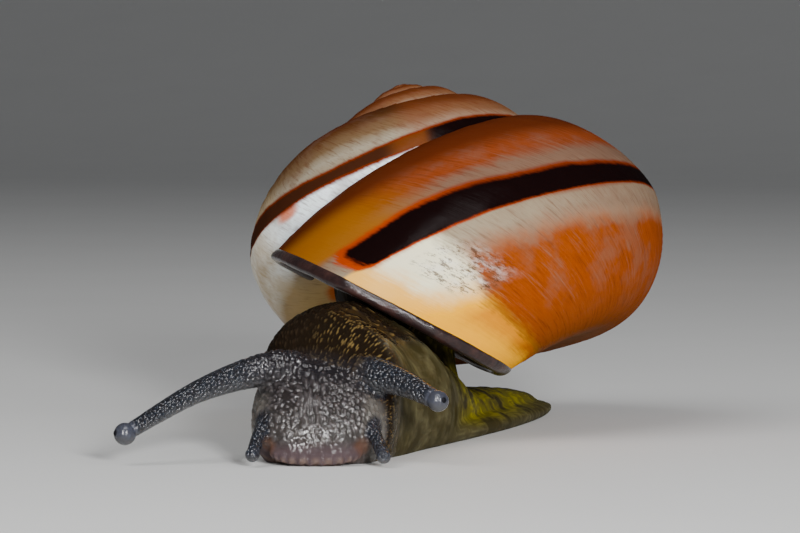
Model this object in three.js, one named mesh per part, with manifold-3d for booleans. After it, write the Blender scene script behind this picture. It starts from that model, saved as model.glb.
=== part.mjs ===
// A banded grove snail, life size, crawling with its tentacles out.
// Millimetres. The origin is on the floor under the middle of the foot, +Z is up, the head is towards
// -Y and the animal's left side towards +X. The shell coils to the right and its spire leans to -X.
import * as THREE from "three";
import { mergeVertices } from "three/addons/utils/BufferGeometryUtils.js";
import Module from "manifold-3d";

const wasm = await Module();
wasm.setup();

// ---------------------------------------------------------------- driving dimensions

const DEGREE = Math.PI / 180;
const TURN = 2 * Math.PI;
const GAP = 0.3; // between the faces of neighbouring parts

// Shell. q is the growth angle in radians, counted back from the aperture; phi runs round a whorl's
// section, 0 at the periphery and 90 degrees at the top. Sizes are shares of the outer radius.
const SHELL_DIAMETER = 22;
const WHORLS = 4.6;
const GROWTH = 0.082; // shrinkage for each radian back from the aperture
const GROWTH_SLOWING = 0.0013; // the early whorls grew faster
const OUTER_HALF_WIDTH = 0.374;
const INNER_HALF_WIDTH = 0.598; // nearly to the axis, so the umbilicus is closed
const TOP_HALF_HEIGHT = 0.45;
const BASE_HALF_HEIGHT = 0.481;
const SHOULDER_POWER = 1.38; // above 1 the shoulder slopes down from the suture
const SPIRE_RISE = 0.848; // height of the apex above the middle of the last whorl
const SPIRE_POWER = 1.085; // above 1 the spire is domed
const EARLY_LEAN = [1.27, 1.66, -0.8]; // how far the first whorls stand off the last one's axis
const EARLY_LEAN_TURNS = [0.6, 2]; // the turns over which that lean grows
const APERTURE_DROP = 2.25; // the last whorl dips towards the aperture, in millimetres
const APERTURE_DROP_ANGLE = 2.04;
const COLUMELLA_RADIUS = 1.3; // of the pillar that closes the axis, at the last whorl
const COLUMELLA_TURNS = 3;

// The aperture lies in one plane. Its normal points out of the shell.
const APERTURE_TILT = 44.3 * DEGREE; // away from straight down the axis
const APERTURE_TURN = -71.7 * DEGREE; // about the axis
const APERTURE_SETBACK = 2.47; // of that plane behind the periphery at q = 0
const WALL = 0.6;
const RECESS_DEPTH = 2.75;
const COLLAR_SETBACK = 0.35;
const LIP_WIDTH = 0.6;
const LIP_THICKNESS = 0.66;
const LIP_FLARE = 0.08; // how far the lip stands out past the whorl
const LIP_ARC = [128 * DEGREE, -192 * DEGREE]; // from the suture round the base to the columella

// The shell's place over the foot: its apex, and the turn that leans its axis.
const APEX = [-4.53, 9.09, 14.95];
const SHELL_TURN = [-14.09 * DEGREE, -20.33 * DEGREE, -107.46 * DEGREE];

// Flesh. Each profile row is y, half width and height, from the tail to the mouth.
const BACK_PROFILE = [
  [16.6, 0.3, 0.35],
  [14.5, 1, 0.95],
  [10.5, 1.7, 1.4],
  [6, 2.1, 1.75],
  [2.5, 2.4, 2.3],
  [-1, 2.8, 4.1],
  [-4, 3.4, 5.75],
  [-6.5, 3.35, 6.1],
  [-9, 3.25, 5.8],
  [-11, 2.9, 4.9],
  [-12.7, 2.75, 3.95],
  [-13.8, 2.5, 2.95],
  [-14.5, 2, 2.1],
  [-14.9, 1.2, 1.5],
];
const SOLE_PROFILE = [
  [17, 0.5, 0.35],
  [15, 1.7, 0.5],
  [11, 2.5, 0.8],
  [5, 3.1, 1],
  [-2, 3.2, 1.1],
  [-8, 3, 1.1],
  [-12, 2.5, 0.9],
  [-13.4, 1.9, 0.6],
];
const BACK_CENTRE = 0.4; // height of the section's middle, as a share of its height
const SOLE_CENTRE = 0.3;
const ROUNDNESS = 0.9; // power of the sections; lower is squarer
const NECK_ROUNDNESS = 0.75;
const NECK_SQUARE_REACH = [[-12.5, -9.5], [-3, 0]]; // the y over which the neck turns squarer and back
const NECK_LEAN = 0.075; // share by which the neck is lower for each millimetre to the left
const NECK_LEAN_SIDE = -0.5; // from this far off its midline
const NECK_LEAN_REACH = [[-11, -7.5], [-3, 1]];
const BEND_START = -4; // forward of this y the neck bends to the animal's left
const BEND_LENGTH = 11;
const BEND = 1.45;
const BEND_POWER = 2.5;
const CHIN_LIFT = 0.8; // how far the front of the head stands off the floor
const CHIN_REACH = [-12.9, -14.9]; // the y between which it rises
const HEAD_TURN = 20 * DEGREE;
const STALK_FOOT = [0.3, -0.6, 0.8]; // the torso's axis, from the foot up into the shell
const STALK_TOP = [-1.3, 0.3, 8];
const STALK_HALF = [2.2, 3.5];

// Where the flesh is parted
const HEAD_BACK = -10.6;
const NECK_BACK = -4.6;
const TORSO_BACK = 4;
const TAIL_FRONT = 6.5;
const FOOT_TOP = 1.5;
const MOUTH_BACK = 2.6; // ahead of the point (0, HEAD_BACK) along the turned head
const MOUTH_TOP = 1.25;

const MOUTH_CENTRE = [1.3, -14.35, 0.5];
const MOUTH_HALF = [1.75, 0.7, 0.6];
const MOUTH_LOBES = 10;
const MOUTH_LOBE_HALF = [0.24, 0.32, 0.42];
const MOUTH_LOBE_ARC = 74 * DEGREE;
const MOUTH_LOBE_HEIGHT = 0.38; // of the middle lobes; the outer ones stand higher
const MOUTH_LOBE_LIFT = 0.28;

// Each tentacle's path runs from inside the head to its tip, with a radius for each point. A socket of
// the head holds its first share. The upper ones end in an eye bulb.
const BULB_FACE = 0.75; // how far from a bulb's middle the gap behind it starts, as a share of its radius
const TENTACLES = {
  tentacle_upper_right: {
    path: [[0.3, -11.9, 3.1], [-0.85, -12.95, 3.75], [-3.3, -14.95, 2.95], [-5.77, -17.05, 1.26]],
    radii: [0.85, 0.68, 0.45, 0.36],
    socket: 0.3,
    eye: { name: "eye_right", radius: 0.45 },
  },
  tentacle_upper_left: {
    path: [[1.1, -11.3, 3], [2.3, -11.8, 3.5], [4.2, -12.5, 3.25], [6.02, -13.23, 2.6]],
    radii: [0.9, 0.78, 0.55, 0.38],
    socket: 0.36,
    eye: { name: "eye_left", radius: 0.43 },
  },
  tentacle_lower_right: {
    path: [[0, -13, 2], [-0.7, -14.3, 1.75], [-0.8, -15.2, 1.2], [-0.72, -16.1, 0.5]],
    radii: [0.45, 0.38, 0.3, 0.28],
    socket: 0.36,
  },
  tentacle_lower_left: {
    path: [[2, -12.2, 1.8], [3, -13, 1.55], [3.65, -13.8, 1.05], [4.2, -14.5, 0.45]],
    radii: [0.45, 0.38, 0.3, 0.28],
    socket: 0.4,
  },
};

// How finely the faces are cut
const WHORL_STEPS = [34, 26, 20, 14, 10]; // rings in each turn, from the last one back
const SECTION_STEPS = 28;
const LIP_RINGS = 40;
const LIP_STEPS = 10;
const COLUMELLA_RINGS = 8;
const BODY_RINGS = 32;
const BODY_STEPS = 24;
const TENTACLE_RINGS = 10;
const TENTACLE_STEPS = 10;

const COLOURS = {
  shell: [0x8a4a22, 0.28],
  lip: [0x2a1410, 0.22],
  flesh: [0x3a342b, 0.45],
  foot: [0x6b5a2c, 0.5],
  tentacle: [0x5b6066, 0.4],
  mouth: [0x9a7f72, 0.45],
  eye: [0x15161a, 0.15],
};

// ---------------------------------------------------------------- general solids

/** A closed three.js geometry as a solid. */
function solidOf(geometry) {
  geometry.deleteAttribute("normal");
  geometry.deleteAttribute("uv");
  const merged = mergeVertices(geometry, 1e-5);
  return new wasm.Manifold(
    new wasm.Mesh({
      numProp: 3,
      vertProperties: merged.attributes.position.array,
      triVerts: new Uint32Array(merged.index.array),
    }),
  );
}

/** A solid that place(t, angle, radius) bends out of a cylinder; t runs along it from 0 to 1. */
function sweep(place, rings, steps) {
  const geometry = new THREE.CylinderGeometry(1, 1, 1, steps, rings);
  const at = geometry.attributes.position;
  for (let i = 0; i < at.count; i++) {
    const angle = Math.atan2(at.getX(i), at.getZ(i));
    const radius = Math.hypot(at.getX(i), at.getZ(i));
    const p = place(0.5 - at.getY(i), angle, radius);
    at.setXYZ(i, p.x, p.y, p.z);
  }
  const a = new THREE.Vector3();
  const b = new THREE.Vector3();
  const c = new THREE.Vector3();
  const index = geometry.index.array;
  let volume = 0;
  for (let i = 0; i < index.length; i += 3) {
    a.fromBufferAttribute(at, index[i]);
    b.fromBufferAttribute(at, index[i + 1]);
    c.fromBufferAttribute(at, index[i + 2]);
    volume += a.dot(b.cross(c));
  }
  if (volume < 0) {
    for (let i = 0; i < index.length; i += 3) {
      [index[i], index[i + 1]] = [index[i + 1], index[i]];
    }
  }
  return solidOf(geometry);
}

/** A box from low to high, turned about the vertical through (0, pivotY). */
function box(low, high, turn = 0, pivotY = 0) {
  const size = high.map((h, i) => h - low[i]);
  const geometry = new THREE.BoxGeometry(...size);
  geometry.translate(...low.map((l, i) => l + size[i] / 2));
  geometry.rotateZ(turn);
  geometry.translate(0, pivotY, 0);
  return solidOf(geometry);
}

function ellipsoid(centre, half, turn = 0, steps = 14) {
  const geometry = new THREE.SphereGeometry(1, steps, Math.round(steps * 0.7));
  geometry.rotateX(Math.PI / 2);
  geometry.scale(...half);
  geometry.rotateZ(turn);
  geometry.translate(...centre);
  return solidOf(geometry);
}

const union = (solids) => solids.reduce((whole, solid) => whole.add(solid));

/** The largest closed surface of a solid. */
function largest(solid) {
  return solid.decompose().reduce((best, piece) => (piece.volume() > best.volume() ? piece : best));
}

const FAR = 60;

// ---------------------------------------------------------------- shell

const shellPlace = new THREE.Matrix4()
  .makeRotationFromEuler(new THREE.Euler(...SHELL_TURN, "XYZ"))
  .setPosition(...APEX);

const shellScale = (q) => Math.exp(-(GROWTH * q + GROWTH_SLOWING * q * q));
const OUTER_RADIUS = SHELL_DIAMETER / (1 + shellScale(Math.PI));

const signedPower = (x, power) => Math.sign(x) * Math.abs(x) ** power;

/** The shell's axis beside the whorl at q, in the shell's own frame. */
function axisPoint(q) {
  const lean = THREE.MathUtils.smoothstep(q / TURN, ...EARLY_LEAN_TURNS);
  const p = new THREE.Vector3(...EARLY_LEAN).multiplyScalar(lean);
  p.z -= SPIRE_RISE * OUTER_RADIUS * shellScale(q) ** SPIRE_POWER;
  return p;
}

/** A point of a whorl in the shell's own frame; inset moves the wall in, share runs to the middle. */
function whorlPoint(q, phi, inset = 0, share = 1) {
  const scale = shellScale(q);
  const cosine = Math.cos(phi);
  const sine = Math.sin(phi);
  const power = cosine > 0 && sine > 0 ? SHOULDER_POWER : 1;
  const width = (cosine > 0 ? OUTER_HALF_WIDTH : INNER_HALF_WIDTH) * OUTER_RADIUS * scale - inset;
  const height = (sine > 0 ? TOP_HALF_HEIGHT : BASE_HALF_HEIGHT) * OUTER_RADIUS * scale - inset;
  const middle = (1 - OUTER_HALF_WIDTH) * OUTER_RADIUS * scale;
  const r = middle + share * width * signedPower(cosine, power);
  const p = axisPoint(q);
  p.x += r * Math.cos(q);
  p.y += r * Math.sin(q);
  p.z += share * height * signedPower(sine, power);
  p.z -= APERTURE_DROP * Math.max(0, 1 - q / APERTURE_DROP_ANGLE) ** 2;
  return p;
}

const apertureNormal = new THREE.Vector3(
  Math.sin(APERTURE_TILT) * Math.cos(APERTURE_TURN),
  Math.sin(APERTURE_TILT) * Math.sin(APERTURE_TURN),
  -Math.cos(APERTURE_TILT),
);
const aperturePoint = whorlPoint(0, 0).addScaledVector(apertureNormal, -APERTURE_SETBACK);

/** The growth angle at which the wall line phi lies depth behind the aperture plane. */
function growthAtDepth(phi, depth, inset) {
  const excess = (q) => -depth - whorlPoint(q, phi, inset).sub(aperturePoint).dot(apertureNormal);
  const step = 0.1;
  let high = -1.4;
  while (excess(high) < 0 && high < 2.4) high += step;
  let low = high - step;
  for (let i = 0; i < 24; i++) {
    const middle = (low + high) / 2;
    if (excess(middle) < 0) low = middle;
    else high = middle;
  }
  return high;
}

/** All that lies from one depth to another behind the aperture plane. */
function apertureSlab(from, to) {
  const geometry = new THREE.BoxGeometry(FAR, FAR, to - from);
  geometry.translate(0, 0, -(from + to) / 2);
  const turn = new THREE.Quaternion().setFromUnitVectors(new THREE.Vector3(0, 0, 1), apertureNormal);
  geometry.applyQuaternion(turn);
  geometry.translate(aperturePoint.x, aperturePoint.y, aperturePoint.z);
  geometry.applyMatrix4(shellPlace);
  return solidOf(geometry);
}

/** The filled whorl from one growth angle to another, its wall moved in by inset. */
function whorl(from, to, rings, inset = 0) {
  const place = (t, phi, radius) =>
    whorlPoint(THREE.MathUtils.lerp(from, to, t), phi, inset, radius).applyMatrix4(shellPlace);
  return sweep(place, rings, SECTION_STEPS);
}

const MOUTH_END = -1; // past the aperture plane all round
const FIRST_END = 0.36 * TURN; // the stretch that the aperture plane may cut

function firstStretch(inset) {
  const rings = Math.round((WHORL_STEPS[0] * (FIRST_END - MOUTH_END)) / TURN);
  return whorl(MOUTH_END, FIRST_END, rings, inset);
}

/** The whorls behind that stretch, in pieces of less than a turn, since whorls overlap. */
function olderWhorls(inset, whorls = WHORLS) {
  const pieces = [];
  const last = whorls * TURN;
  const length = TURN / 2;
  for (let q = FIRST_END; q < last; q += length) {
    const rings = WHORL_STEPS[Math.floor(q / TURN)] / 2;
    pieces.push(whorl(q, Math.min(q + length, last), rings, inset));
  }
  return union(pieces);
}

/** The lip as a bead round the aperture, made thicker all round by extra. */
function lipBead(extra = 0) {
  const halfWidth = LIP_WIDTH / 2 + extra;
  const halfThickness = LIP_THICKNESS / 2 + extra;
  const place = (t, angle, radius) => {
    const phi = THREE.MathUtils.lerp(LIP_ARC[0], LIP_ARC[1], t);
    const depth = LIP_WIDTH / 2 + radius * halfWidth * signedPower(Math.cos(angle), 0.8);
    const inset = LIP_THICKNESS / 2 - LIP_FLARE + radius * halfThickness * signedPower(Math.sin(angle), 0.8);
    return whorlPoint(growthAtDepth(phi, depth, inset), phi, inset).applyMatrix4(shellPlace);
  };
  return sweep(place, LIP_RINGS, LIP_STEPS);
}

function makeShell() {
  const inside = apertureSlab(LIP_WIDTH + GAP, FAR);
  const recess = firstStretch(WALL).intersect(apertureSlab(-FAR, RECESS_DEPTH));
  const columella = sweep(
    (t, angle, radius) => {
      const q = t * COLUMELLA_TURNS * TURN;
      const r = radius * COLUMELLA_RADIUS * shellScale(q);
      const p = axisPoint(q);
      p.x += r * Math.cos(angle);
      p.y += r * Math.sin(angle);
      return p.applyMatrix4(shellPlace);
    },
    COLUMELLA_RINGS,
    10,
  );
  const first = firstStretch(0).intersect(inside).subtract(recess);
  return largest(union([first, olderWhorls(0), columella]));
}

function makeLip() {
  const front = apertureSlab(-FAR, LIP_WIDTH);
  return largest(lipBead().intersect(front).subtract(olderWhorls(-GAP, 2.3)));
}

function makeCollar() {
  const inset = Math.max(WALL, LIP_THICKNESS - LIP_FLARE) + GAP;
  const slab = apertureSlab(COLLAR_SETBACK, RECESS_DEPTH - GAP);
  return largest(firstStretch(inset).intersect(slab).subtract(olderWhorls(-GAP, 2.3)));
}

/** What the flesh outside the shell has to keep clear of. */
function shellClearance() {
  const inside = firstStretch(-GAP).intersect(apertureSlab(COLLAR_SETBACK - GAP, FAR));
  return union([inside, olderWhorls(-GAP, 2.3), lipBead(GAP)]);
}

// ---------------------------------------------------------------- flesh

const vectors = (rows) => rows.map((row) => new THREE.Vector3(...row));

/** How much of the neck's form a section at y has, from the y over which it comes and goes. */
function neckShare(y, [comes, goes]) {
  return THREE.MathUtils.smoothstep(y, ...comes) * (1 - THREE.MathUtils.smoothstep(y, ...goes));
}

/** A long solid along the curved midline, with rounded sections; the chin's lift raises its front. */
function bodyLoft(profile, centreShare, chinLift, hasNeck) {
  const curve = new THREE.CatmullRomCurve3(vectors(profile), false, "centripetal");
  const place = (t, angle, radius) => {
    const row = curve.getPoint(t);
    const [y, halfWidth, height] = [row.x, row.y, row.z];
    const forward = Math.max(0, (BEND_START - y) / BEND_LENGTH);
    const middle = BEND * forward ** BEND_POWER;
    const turn = Math.atan((BEND * BEND_POWER * forward ** (BEND_POWER - 1)) / BEND_LENGTH);
    const square = hasNeck ? neckShare(y, NECK_SQUARE_REACH) : 0;
    const lean = hasNeck ? NECK_LEAN * neckShare(y, NECK_LEAN_REACH) : 0;
    const power = THREE.MathUtils.lerp(ROUNDNESS, NECK_ROUNDNESS, square);
    const across = radius * halfWidth * signedPower(Math.sin(angle), power);
    const lift = chinLift * THREE.MathUtils.smoothstep(-y, -CHIN_REACH[0], -CHIN_REACH[1]);
    const share = centreShare + radius * (1 - centreShare) * signedPower(Math.cos(angle), power);
    const up = (lift + (height - lift) * share) * (1 - lean * Math.max(0, across - NECK_LEAN_SIDE));
    return new THREE.Vector3(middle + across * Math.cos(turn), y + across * Math.sin(turn), up);
  };
  return sweep(place, BODY_RINGS, BODY_STEPS);
}

/** The stalk of the torso that rises into the shell. */
function makeStalk() {
  const [foot, top] = vectors([STALK_FOOT, STALK_TOP]);
  const place = (t, angle, radius) => {
    const p = foot.clone().lerp(top, t);
    p.x += radius * STALK_HALF[0] * Math.sin(angle);
    p.y += radius * STALK_HALF[1] * Math.cos(angle);
    return p;
  };
  return sweep(place, 2, BODY_STEPS);
}

/** The lips: a low mound with a row of lobes round its front. */
function makeMouth() {
  const lobes = [];
  for (let i = 0; i < MOUTH_LOBES; i++) {
    const share = (2 * i) / (MOUTH_LOBES - 1) - 1;
    const around = MOUTH_LOBE_ARC * share;
    const x = MOUTH_HALF[0] * Math.sin(around);
    const centre = new THREE.Vector3(x, -MOUTH_HALF[1] * Math.cos(around), 0);
    centre.applyAxisAngle(new THREE.Vector3(0, 0, 1), HEAD_TURN).add(new THREE.Vector3(...MOUTH_CENTRE));
    centre.z = MOUTH_LOBE_HEIGHT + MOUTH_LOBE_LIFT * share ** 2;
    lobes.push(ellipsoid(centre.toArray(), MOUTH_LOBE_HALF, HEAD_TURN + around, 8));
  }
  return union([ellipsoid(MOUTH_CENTRE, MOUTH_HALF, HEAD_TURN), ...lobes]);
}

/** One stretch of a tentacle, from one share of its path to another, grown by extra. */
function tentacleStretch({ path, radii }, from, to, extra = 0) {
  const curve = new THREE.CatmullRomCurve3(vectors(path), false, "centripetal");
  const sizes = new THREE.CatmullRomCurve3(radii.map((r, i) => new THREE.Vector3(i, r, 0)));
  const up = new THREE.Vector3(0, 0, 1);
  const place = (t, angle, radius) => {
    const share = THREE.MathUtils.lerp(from, to, t);
    const ahead = curve.getTangent(share);
    const side = new THREE.Vector3().crossVectors(ahead, up).normalize();
    const top = new THREE.Vector3().crossVectors(side, ahead);
    const r = radius * (sizes.getPoint(share).y + extra);
    return curve
      .getPoint(share)
      .addScaledVector(side, r * Math.cos(angle))
      .addScaledVector(top, r * Math.sin(angle));
  };
  return sweep(place, TENTACLE_RINGS, TENTACLE_STEPS);
}

/** The share of a tentacle's path that a length covers near the given share. */
function pathShare({ path }, length, near) {
  const curve = new THREE.CatmullRomCurve3(vectors(path), false, "centripetal");
  const step = 0.01;
  return (length * step) / curve.getPoint(near).distanceTo(curve.getPoint(near + step));
}

/** The rounded end of a tentacle, on its last point, grown by extra. */
function tentacleTip({ path, radii, eye }, extra = 0) {
  const radius = extra + (eye ? eye.radius : radii[radii.length - 1]);
  return ellipsoid(path[path.length - 1], [radius, radius, radius], 0, 10);
}

// ---------------------------------------------------------------- assembly

const model = new THREE.Group();
model.name = "snail";

/** Adds a solid to the model as a mesh of its own, with the named finish. */
function addNode(name, solid, finish) {
  const mesh = solid.getMesh();
  const geometry = new THREE.BufferGeometry();
  geometry.setAttribute("position", new THREE.BufferAttribute(mesh.vertProperties, 3));
  geometry.setIndex(new THREE.BufferAttribute(mesh.triVerts, 1));
  geometry.computeVertexNormals();
  const [color, roughness] = COLOURS[finish];
  const material = new THREE.MeshStandardMaterial({ color, roughness, metalness: 0 });
  const node = new THREE.Mesh(geometry, material);
  node.name = name;
  model.add(node);
}

addNode("shell", makeShell(), "shell");
addNode("shell_lip", makeLip(), "lip");
addNode("mantle_collar", makeCollar(), "flesh");

const clearance = shellClearance();
const floor = box([-FAR, -FAR, -FAR], [FAR, FAR, 0]);
const body = union([
  bodyLoft(BACK_PROFILE, BACK_CENTRE, CHIN_LIFT, true),
  bodyLoft(SOLE_PROFILE, SOLE_CENTRE, 0, false),
  makeStalk(),
  makeMouth(),
]);
const flesh = body.subtract(clearance).subtract(floor);

const half = GAP / 2;
const ahead = (gap) => box([-FAR, -FAR, -FAR], [FAR, -gap, FAR], HEAD_TURN / 2, HEAD_BACK);
const behind = (y) => box([-FAR, y, -FAR], [FAR, FAR, FAR]);
const mouthBox = (gap) =>
  box([-FAR, -FAR, -FAR], [FAR, -MOUTH_BACK - gap, MOUTH_TOP - gap], HEAD_TURN, HEAD_BACK);

const face = flesh.intersect(ahead(half));
let head = face.subtract(mouthBox(-half));
let mouth = face.intersect(mouthBox(half));
for (const [name, tentacle] of Object.entries(TENTACLES)) {
  const { socket, eye } = tentacle;
  const start = socket + pathShare(tentacle, GAP, socket);
  const end = eye ? 1 - pathShare(tentacle, GAP + eye.radius * BULB_FACE, 0.97) : 1;
  head = head.subtract(tentacleStretch(tentacle, socket, 1, GAP));
  head = head.add(tentacleStretch(tentacle, 0, socket));
  mouth = mouth.subtract(tentacleStretch(tentacle, 0, 1, GAP)).subtract(tentacleTip(tentacle, GAP));
  let stretch = tentacleStretch(tentacle, start, end);
  if (eye) addNode(eye.name, tentacleTip(tentacle), "eye");
  else stretch = stretch.add(tentacleTip(tentacle));
  addNode(name, largest(stretch.subtract(floor)), "tentacle");
}
addNode("mouth_lips", largest(mouth), "mouth");
addNode("head", largest(head), "flesh");

const middle = flesh.subtract(ahead(-half)).subtract(behind(TAIL_FRONT - half));
const above = (gap, from, to) => box([-FAR, from, FOOT_TOP + gap], [FAR, to, FAR]);
addNode("neck", largest(middle.intersect(above(half, -FAR, NECK_BACK - half))), "flesh");
addNode("torso", largest(middle.intersect(above(half, NECK_BACK + half, TORSO_BACK - half))), "flesh");
addNode("foot", largest(middle.subtract(above(-half, -FAR, TORSO_BACK + half))), "foot");
addNode("tail", largest(flesh.intersect(behind(TAIL_FRONT + half))), "foot");

export default model;
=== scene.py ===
"""A banded grove snail, crawling with its tentacles out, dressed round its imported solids.

Shapes are worked out in millimetres and each finished mesh is scaled to metres. The frame has +Z up,
the head towards -Y and the animal's left side towards +X.
"""

import logging
import math
from collections.abc import Callable
from dataclasses import dataclass, field, replace
from enum import Enum

import bmesh
import bpy
import numpy as np
from mathutils import Euler, Matrix, Vector, noise


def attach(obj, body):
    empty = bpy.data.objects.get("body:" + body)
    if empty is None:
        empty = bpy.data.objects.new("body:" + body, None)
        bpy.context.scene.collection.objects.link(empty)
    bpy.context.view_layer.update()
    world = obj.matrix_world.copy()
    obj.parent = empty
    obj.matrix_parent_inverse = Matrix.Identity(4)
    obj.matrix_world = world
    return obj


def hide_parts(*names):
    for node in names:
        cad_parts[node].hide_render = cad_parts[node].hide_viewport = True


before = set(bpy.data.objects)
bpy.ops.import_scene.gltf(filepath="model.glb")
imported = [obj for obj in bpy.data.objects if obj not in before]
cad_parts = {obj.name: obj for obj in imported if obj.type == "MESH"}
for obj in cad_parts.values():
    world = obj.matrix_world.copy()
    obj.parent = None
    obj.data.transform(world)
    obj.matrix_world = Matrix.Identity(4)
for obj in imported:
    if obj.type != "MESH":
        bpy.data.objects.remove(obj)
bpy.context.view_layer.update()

log = logging.getLogger("snail")

MM = 0.001
DEGREE = math.pi / 180
HALF_CIRCLE = 180.0
TURN = 2 * math.pi
MERGE_REACH = 1e-5

Points = np.ndarray
Socket = bpy.types.NodeSocket
Colour = tuple[float, float, float, float]
Value = Socket | float
Shade = Socket | Colour


# ---------------------------------------------------------------- meshes


class Join(Enum):
    """How one closed solid changes another."""

    ADD = "UNION"
    CUT = "DIFFERENCE"


def points_of(bm: bmesh.types.BMesh) -> Points:
    """The places of a bmesh's vertices, one row each."""
    return np.array([v.co[:] for v in bm.verts], float).reshape(-1, 3)


def move_points(bm: bmesh.types.BMesh, places: Points) -> None:
    """Puts each vertex of a bmesh at its row of places."""
    for vert, place in zip(bm.verts, places):
        vert.co = place


def close_holes(bm: bmesh.types.BMesh) -> None:
    """Fills the open ends of a bmesh, and turns its faces out.

    Args:
        bm: The bmesh, changed in place.
    """
    bmesh.ops.holes_fill(bm, edges=bm.edges, sides=0)
    bmesh.ops.triangulate(bm, faces=[f for f in bm.faces if len(f.verts) > 4])
    bmesh.ops.recalc_face_normals(bm, faces=bm.faces)


def swept(rings: int, around: int, place: Callable[[Points, Points], Points]) -> bmesh.types.BMesh:
    """A capped tube in any shape.

    Args:
        rings: Steps along the tube.
        around: Steps round it.
        place: Gives the points at shares along the tube and angles round it.

    Returns:
        A closed bmesh with its faces pointing out.
    """
    bm = bmesh.new()
    bmesh.ops.create_grid(bm, x_segments=rings, y_segments=around, size=0.5)
    at = points_of(bm)
    move_points(bm, place(at[:, 0] + 0.5, (at[:, 1] + 0.5) * TURN))
    bmesh.ops.remove_doubles(bm, verts=bm.verts, dist=MERGE_REACH)
    close_holes(bm)
    return bm


def ball(centre: Points, half: Points, turn: float = 0.0, steps: int = 24) -> bmesh.types.BMesh:
    """An ellipsoid turned about the vertical through its centre.

    Args:
        centre: Its middle.
        half: Its half sizes.
        turn: Its turn in radians.
        steps: Faces round it.

    Returns:
        The closed bmesh.
    """
    bm = bmesh.new()
    bmesh.ops.create_uvsphere(bm, u_segments=steps, v_segments=steps // 2, radius=1.0)
    bmesh.ops.scale(bm, verts=bm.verts, vec=Vector(half))
    bmesh.ops.rotate(bm, verts=bm.verts, matrix=Matrix.Rotation(turn, 3, "Z"))
    bmesh.ops.translate(bm, verts=bm.verts, vec=Vector(centre))
    return bm


def mesh_object(name: str, bm: bmesh.types.BMesh) -> bpy.types.Object:
    """Turns a bmesh into a linked object and frees it.

    Args:
        name: The object's name.
        bm: Its mesh.

    Returns:
        The new object.
    """
    mesh = bpy.data.meshes.new(name)
    bm.to_mesh(mesh)
    bm.free()
    made = bpy.data.objects.new(name, mesh)
    bpy.context.scene.collection.objects.link(made)
    return made


def apply_modifiers(piece: bpy.types.Object) -> None:
    """Replaces a piece's mesh by what its modifiers make of it.

    Args:
        piece: The object, changed in place.
    """
    graph = bpy.context.evaluated_depsgraph_get()
    mesh = bpy.data.meshes.new_from_object(piece.evaluated_get(graph))
    old = piece.data
    piece.modifiers.clear()
    piece.data = mesh
    bpy.data.meshes.remove(old)


def combine(piece: bpy.types.Object, tool: bpy.types.Object, how: Join) -> None:
    """Adds a closed solid to a piece or cuts it away, and removes the tool.

    Args:
        piece: The object that stays.
        tool: The closed solid.
        how: Add or cut.
    """
    change = piece.modifiers.new("join", "BOOLEAN")
    change.operation = how.value
    change.object = tool
    change.solver = "MANIFOLD"
    apply_modifiers(piece)
    bpy.data.objects.remove(tool)


def join_meshes(name: str, parts: list[bmesh.types.BMesh]) -> bpy.types.Object:
    """One object that holds several closed bmeshes side by side.

    Args:
        name: The object's name.
        parts: The bmeshes, freed here.

    Returns:
        The new object.
    """
    whole = bmesh.new()
    for part in parts:
        mesh = bpy.data.meshes.new("part")
        part.to_mesh(mesh)
        part.free()
        whole.from_mesh(mesh)
        bpy.data.meshes.remove(mesh)
    return mesh_object(name, whole)


def set_attribute(piece: bpy.types.Object, name: str, values: Points) -> None:
    """Stores one number for each vertex of a piece."""
    layer = piece.data.attributes.new(name, "FLOAT", "POINT")
    layer.data.foreach_set("value", np.asarray(values, np.float32))


def vertex_arrays(piece: bpy.types.Object) -> tuple[Points, Points]:
    """The places and the normals of a piece's vertices.

    Args:
        piece: The object to read.

    Returns:
        Places and normals, a row for each vertex.
    """
    count = len(piece.data.vertices)
    places = np.zeros(count * 3, np.float32)
    normals = np.zeros(count * 3, np.float32)
    piece.data.vertices.foreach_get("co", places)
    piece.data.vertices.foreach_get("normal", normals)
    return places.reshape(-1, 3).astype(float), normals.reshape(-1, 3).astype(float)


def store_places(piece: bpy.types.Object, places: Points) -> None:
    """Moves a piece's vertices to new places."""
    piece.data.vertices.foreach_set("co", np.asarray(places, np.float32).ravel())
    piece.data.update()


def smooth_step(low: float, high: float, x: Points) -> Points:
    """0 at low, 1 at high and an even curve between them."""
    t = np.clip((np.asarray(x, float) - low) / (high - low), 0, 1)
    return t * t * (3 - 2 * t)


def signed_power(x: Points, power: float | Points) -> Points:
    """A power that keeps the sign of x."""
    return np.sign(x) * np.abs(x) ** power


def finish_piece(piece: bpy.types.Object, nodes: list[str]) -> None:
    """Scales a piece to metres and ties it to the frame.

    Args:
        piece: The piece, modelled in millimetres.
        nodes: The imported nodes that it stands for.
    """
    piece.data.transform(Matrix.Scale(MM, 4))
    piece.data.shade_smooth()
    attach(piece, "root")
    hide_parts(*nodes)
    log.info("%s: %d faces", piece.name, len(piece.data.polygons))


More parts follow.
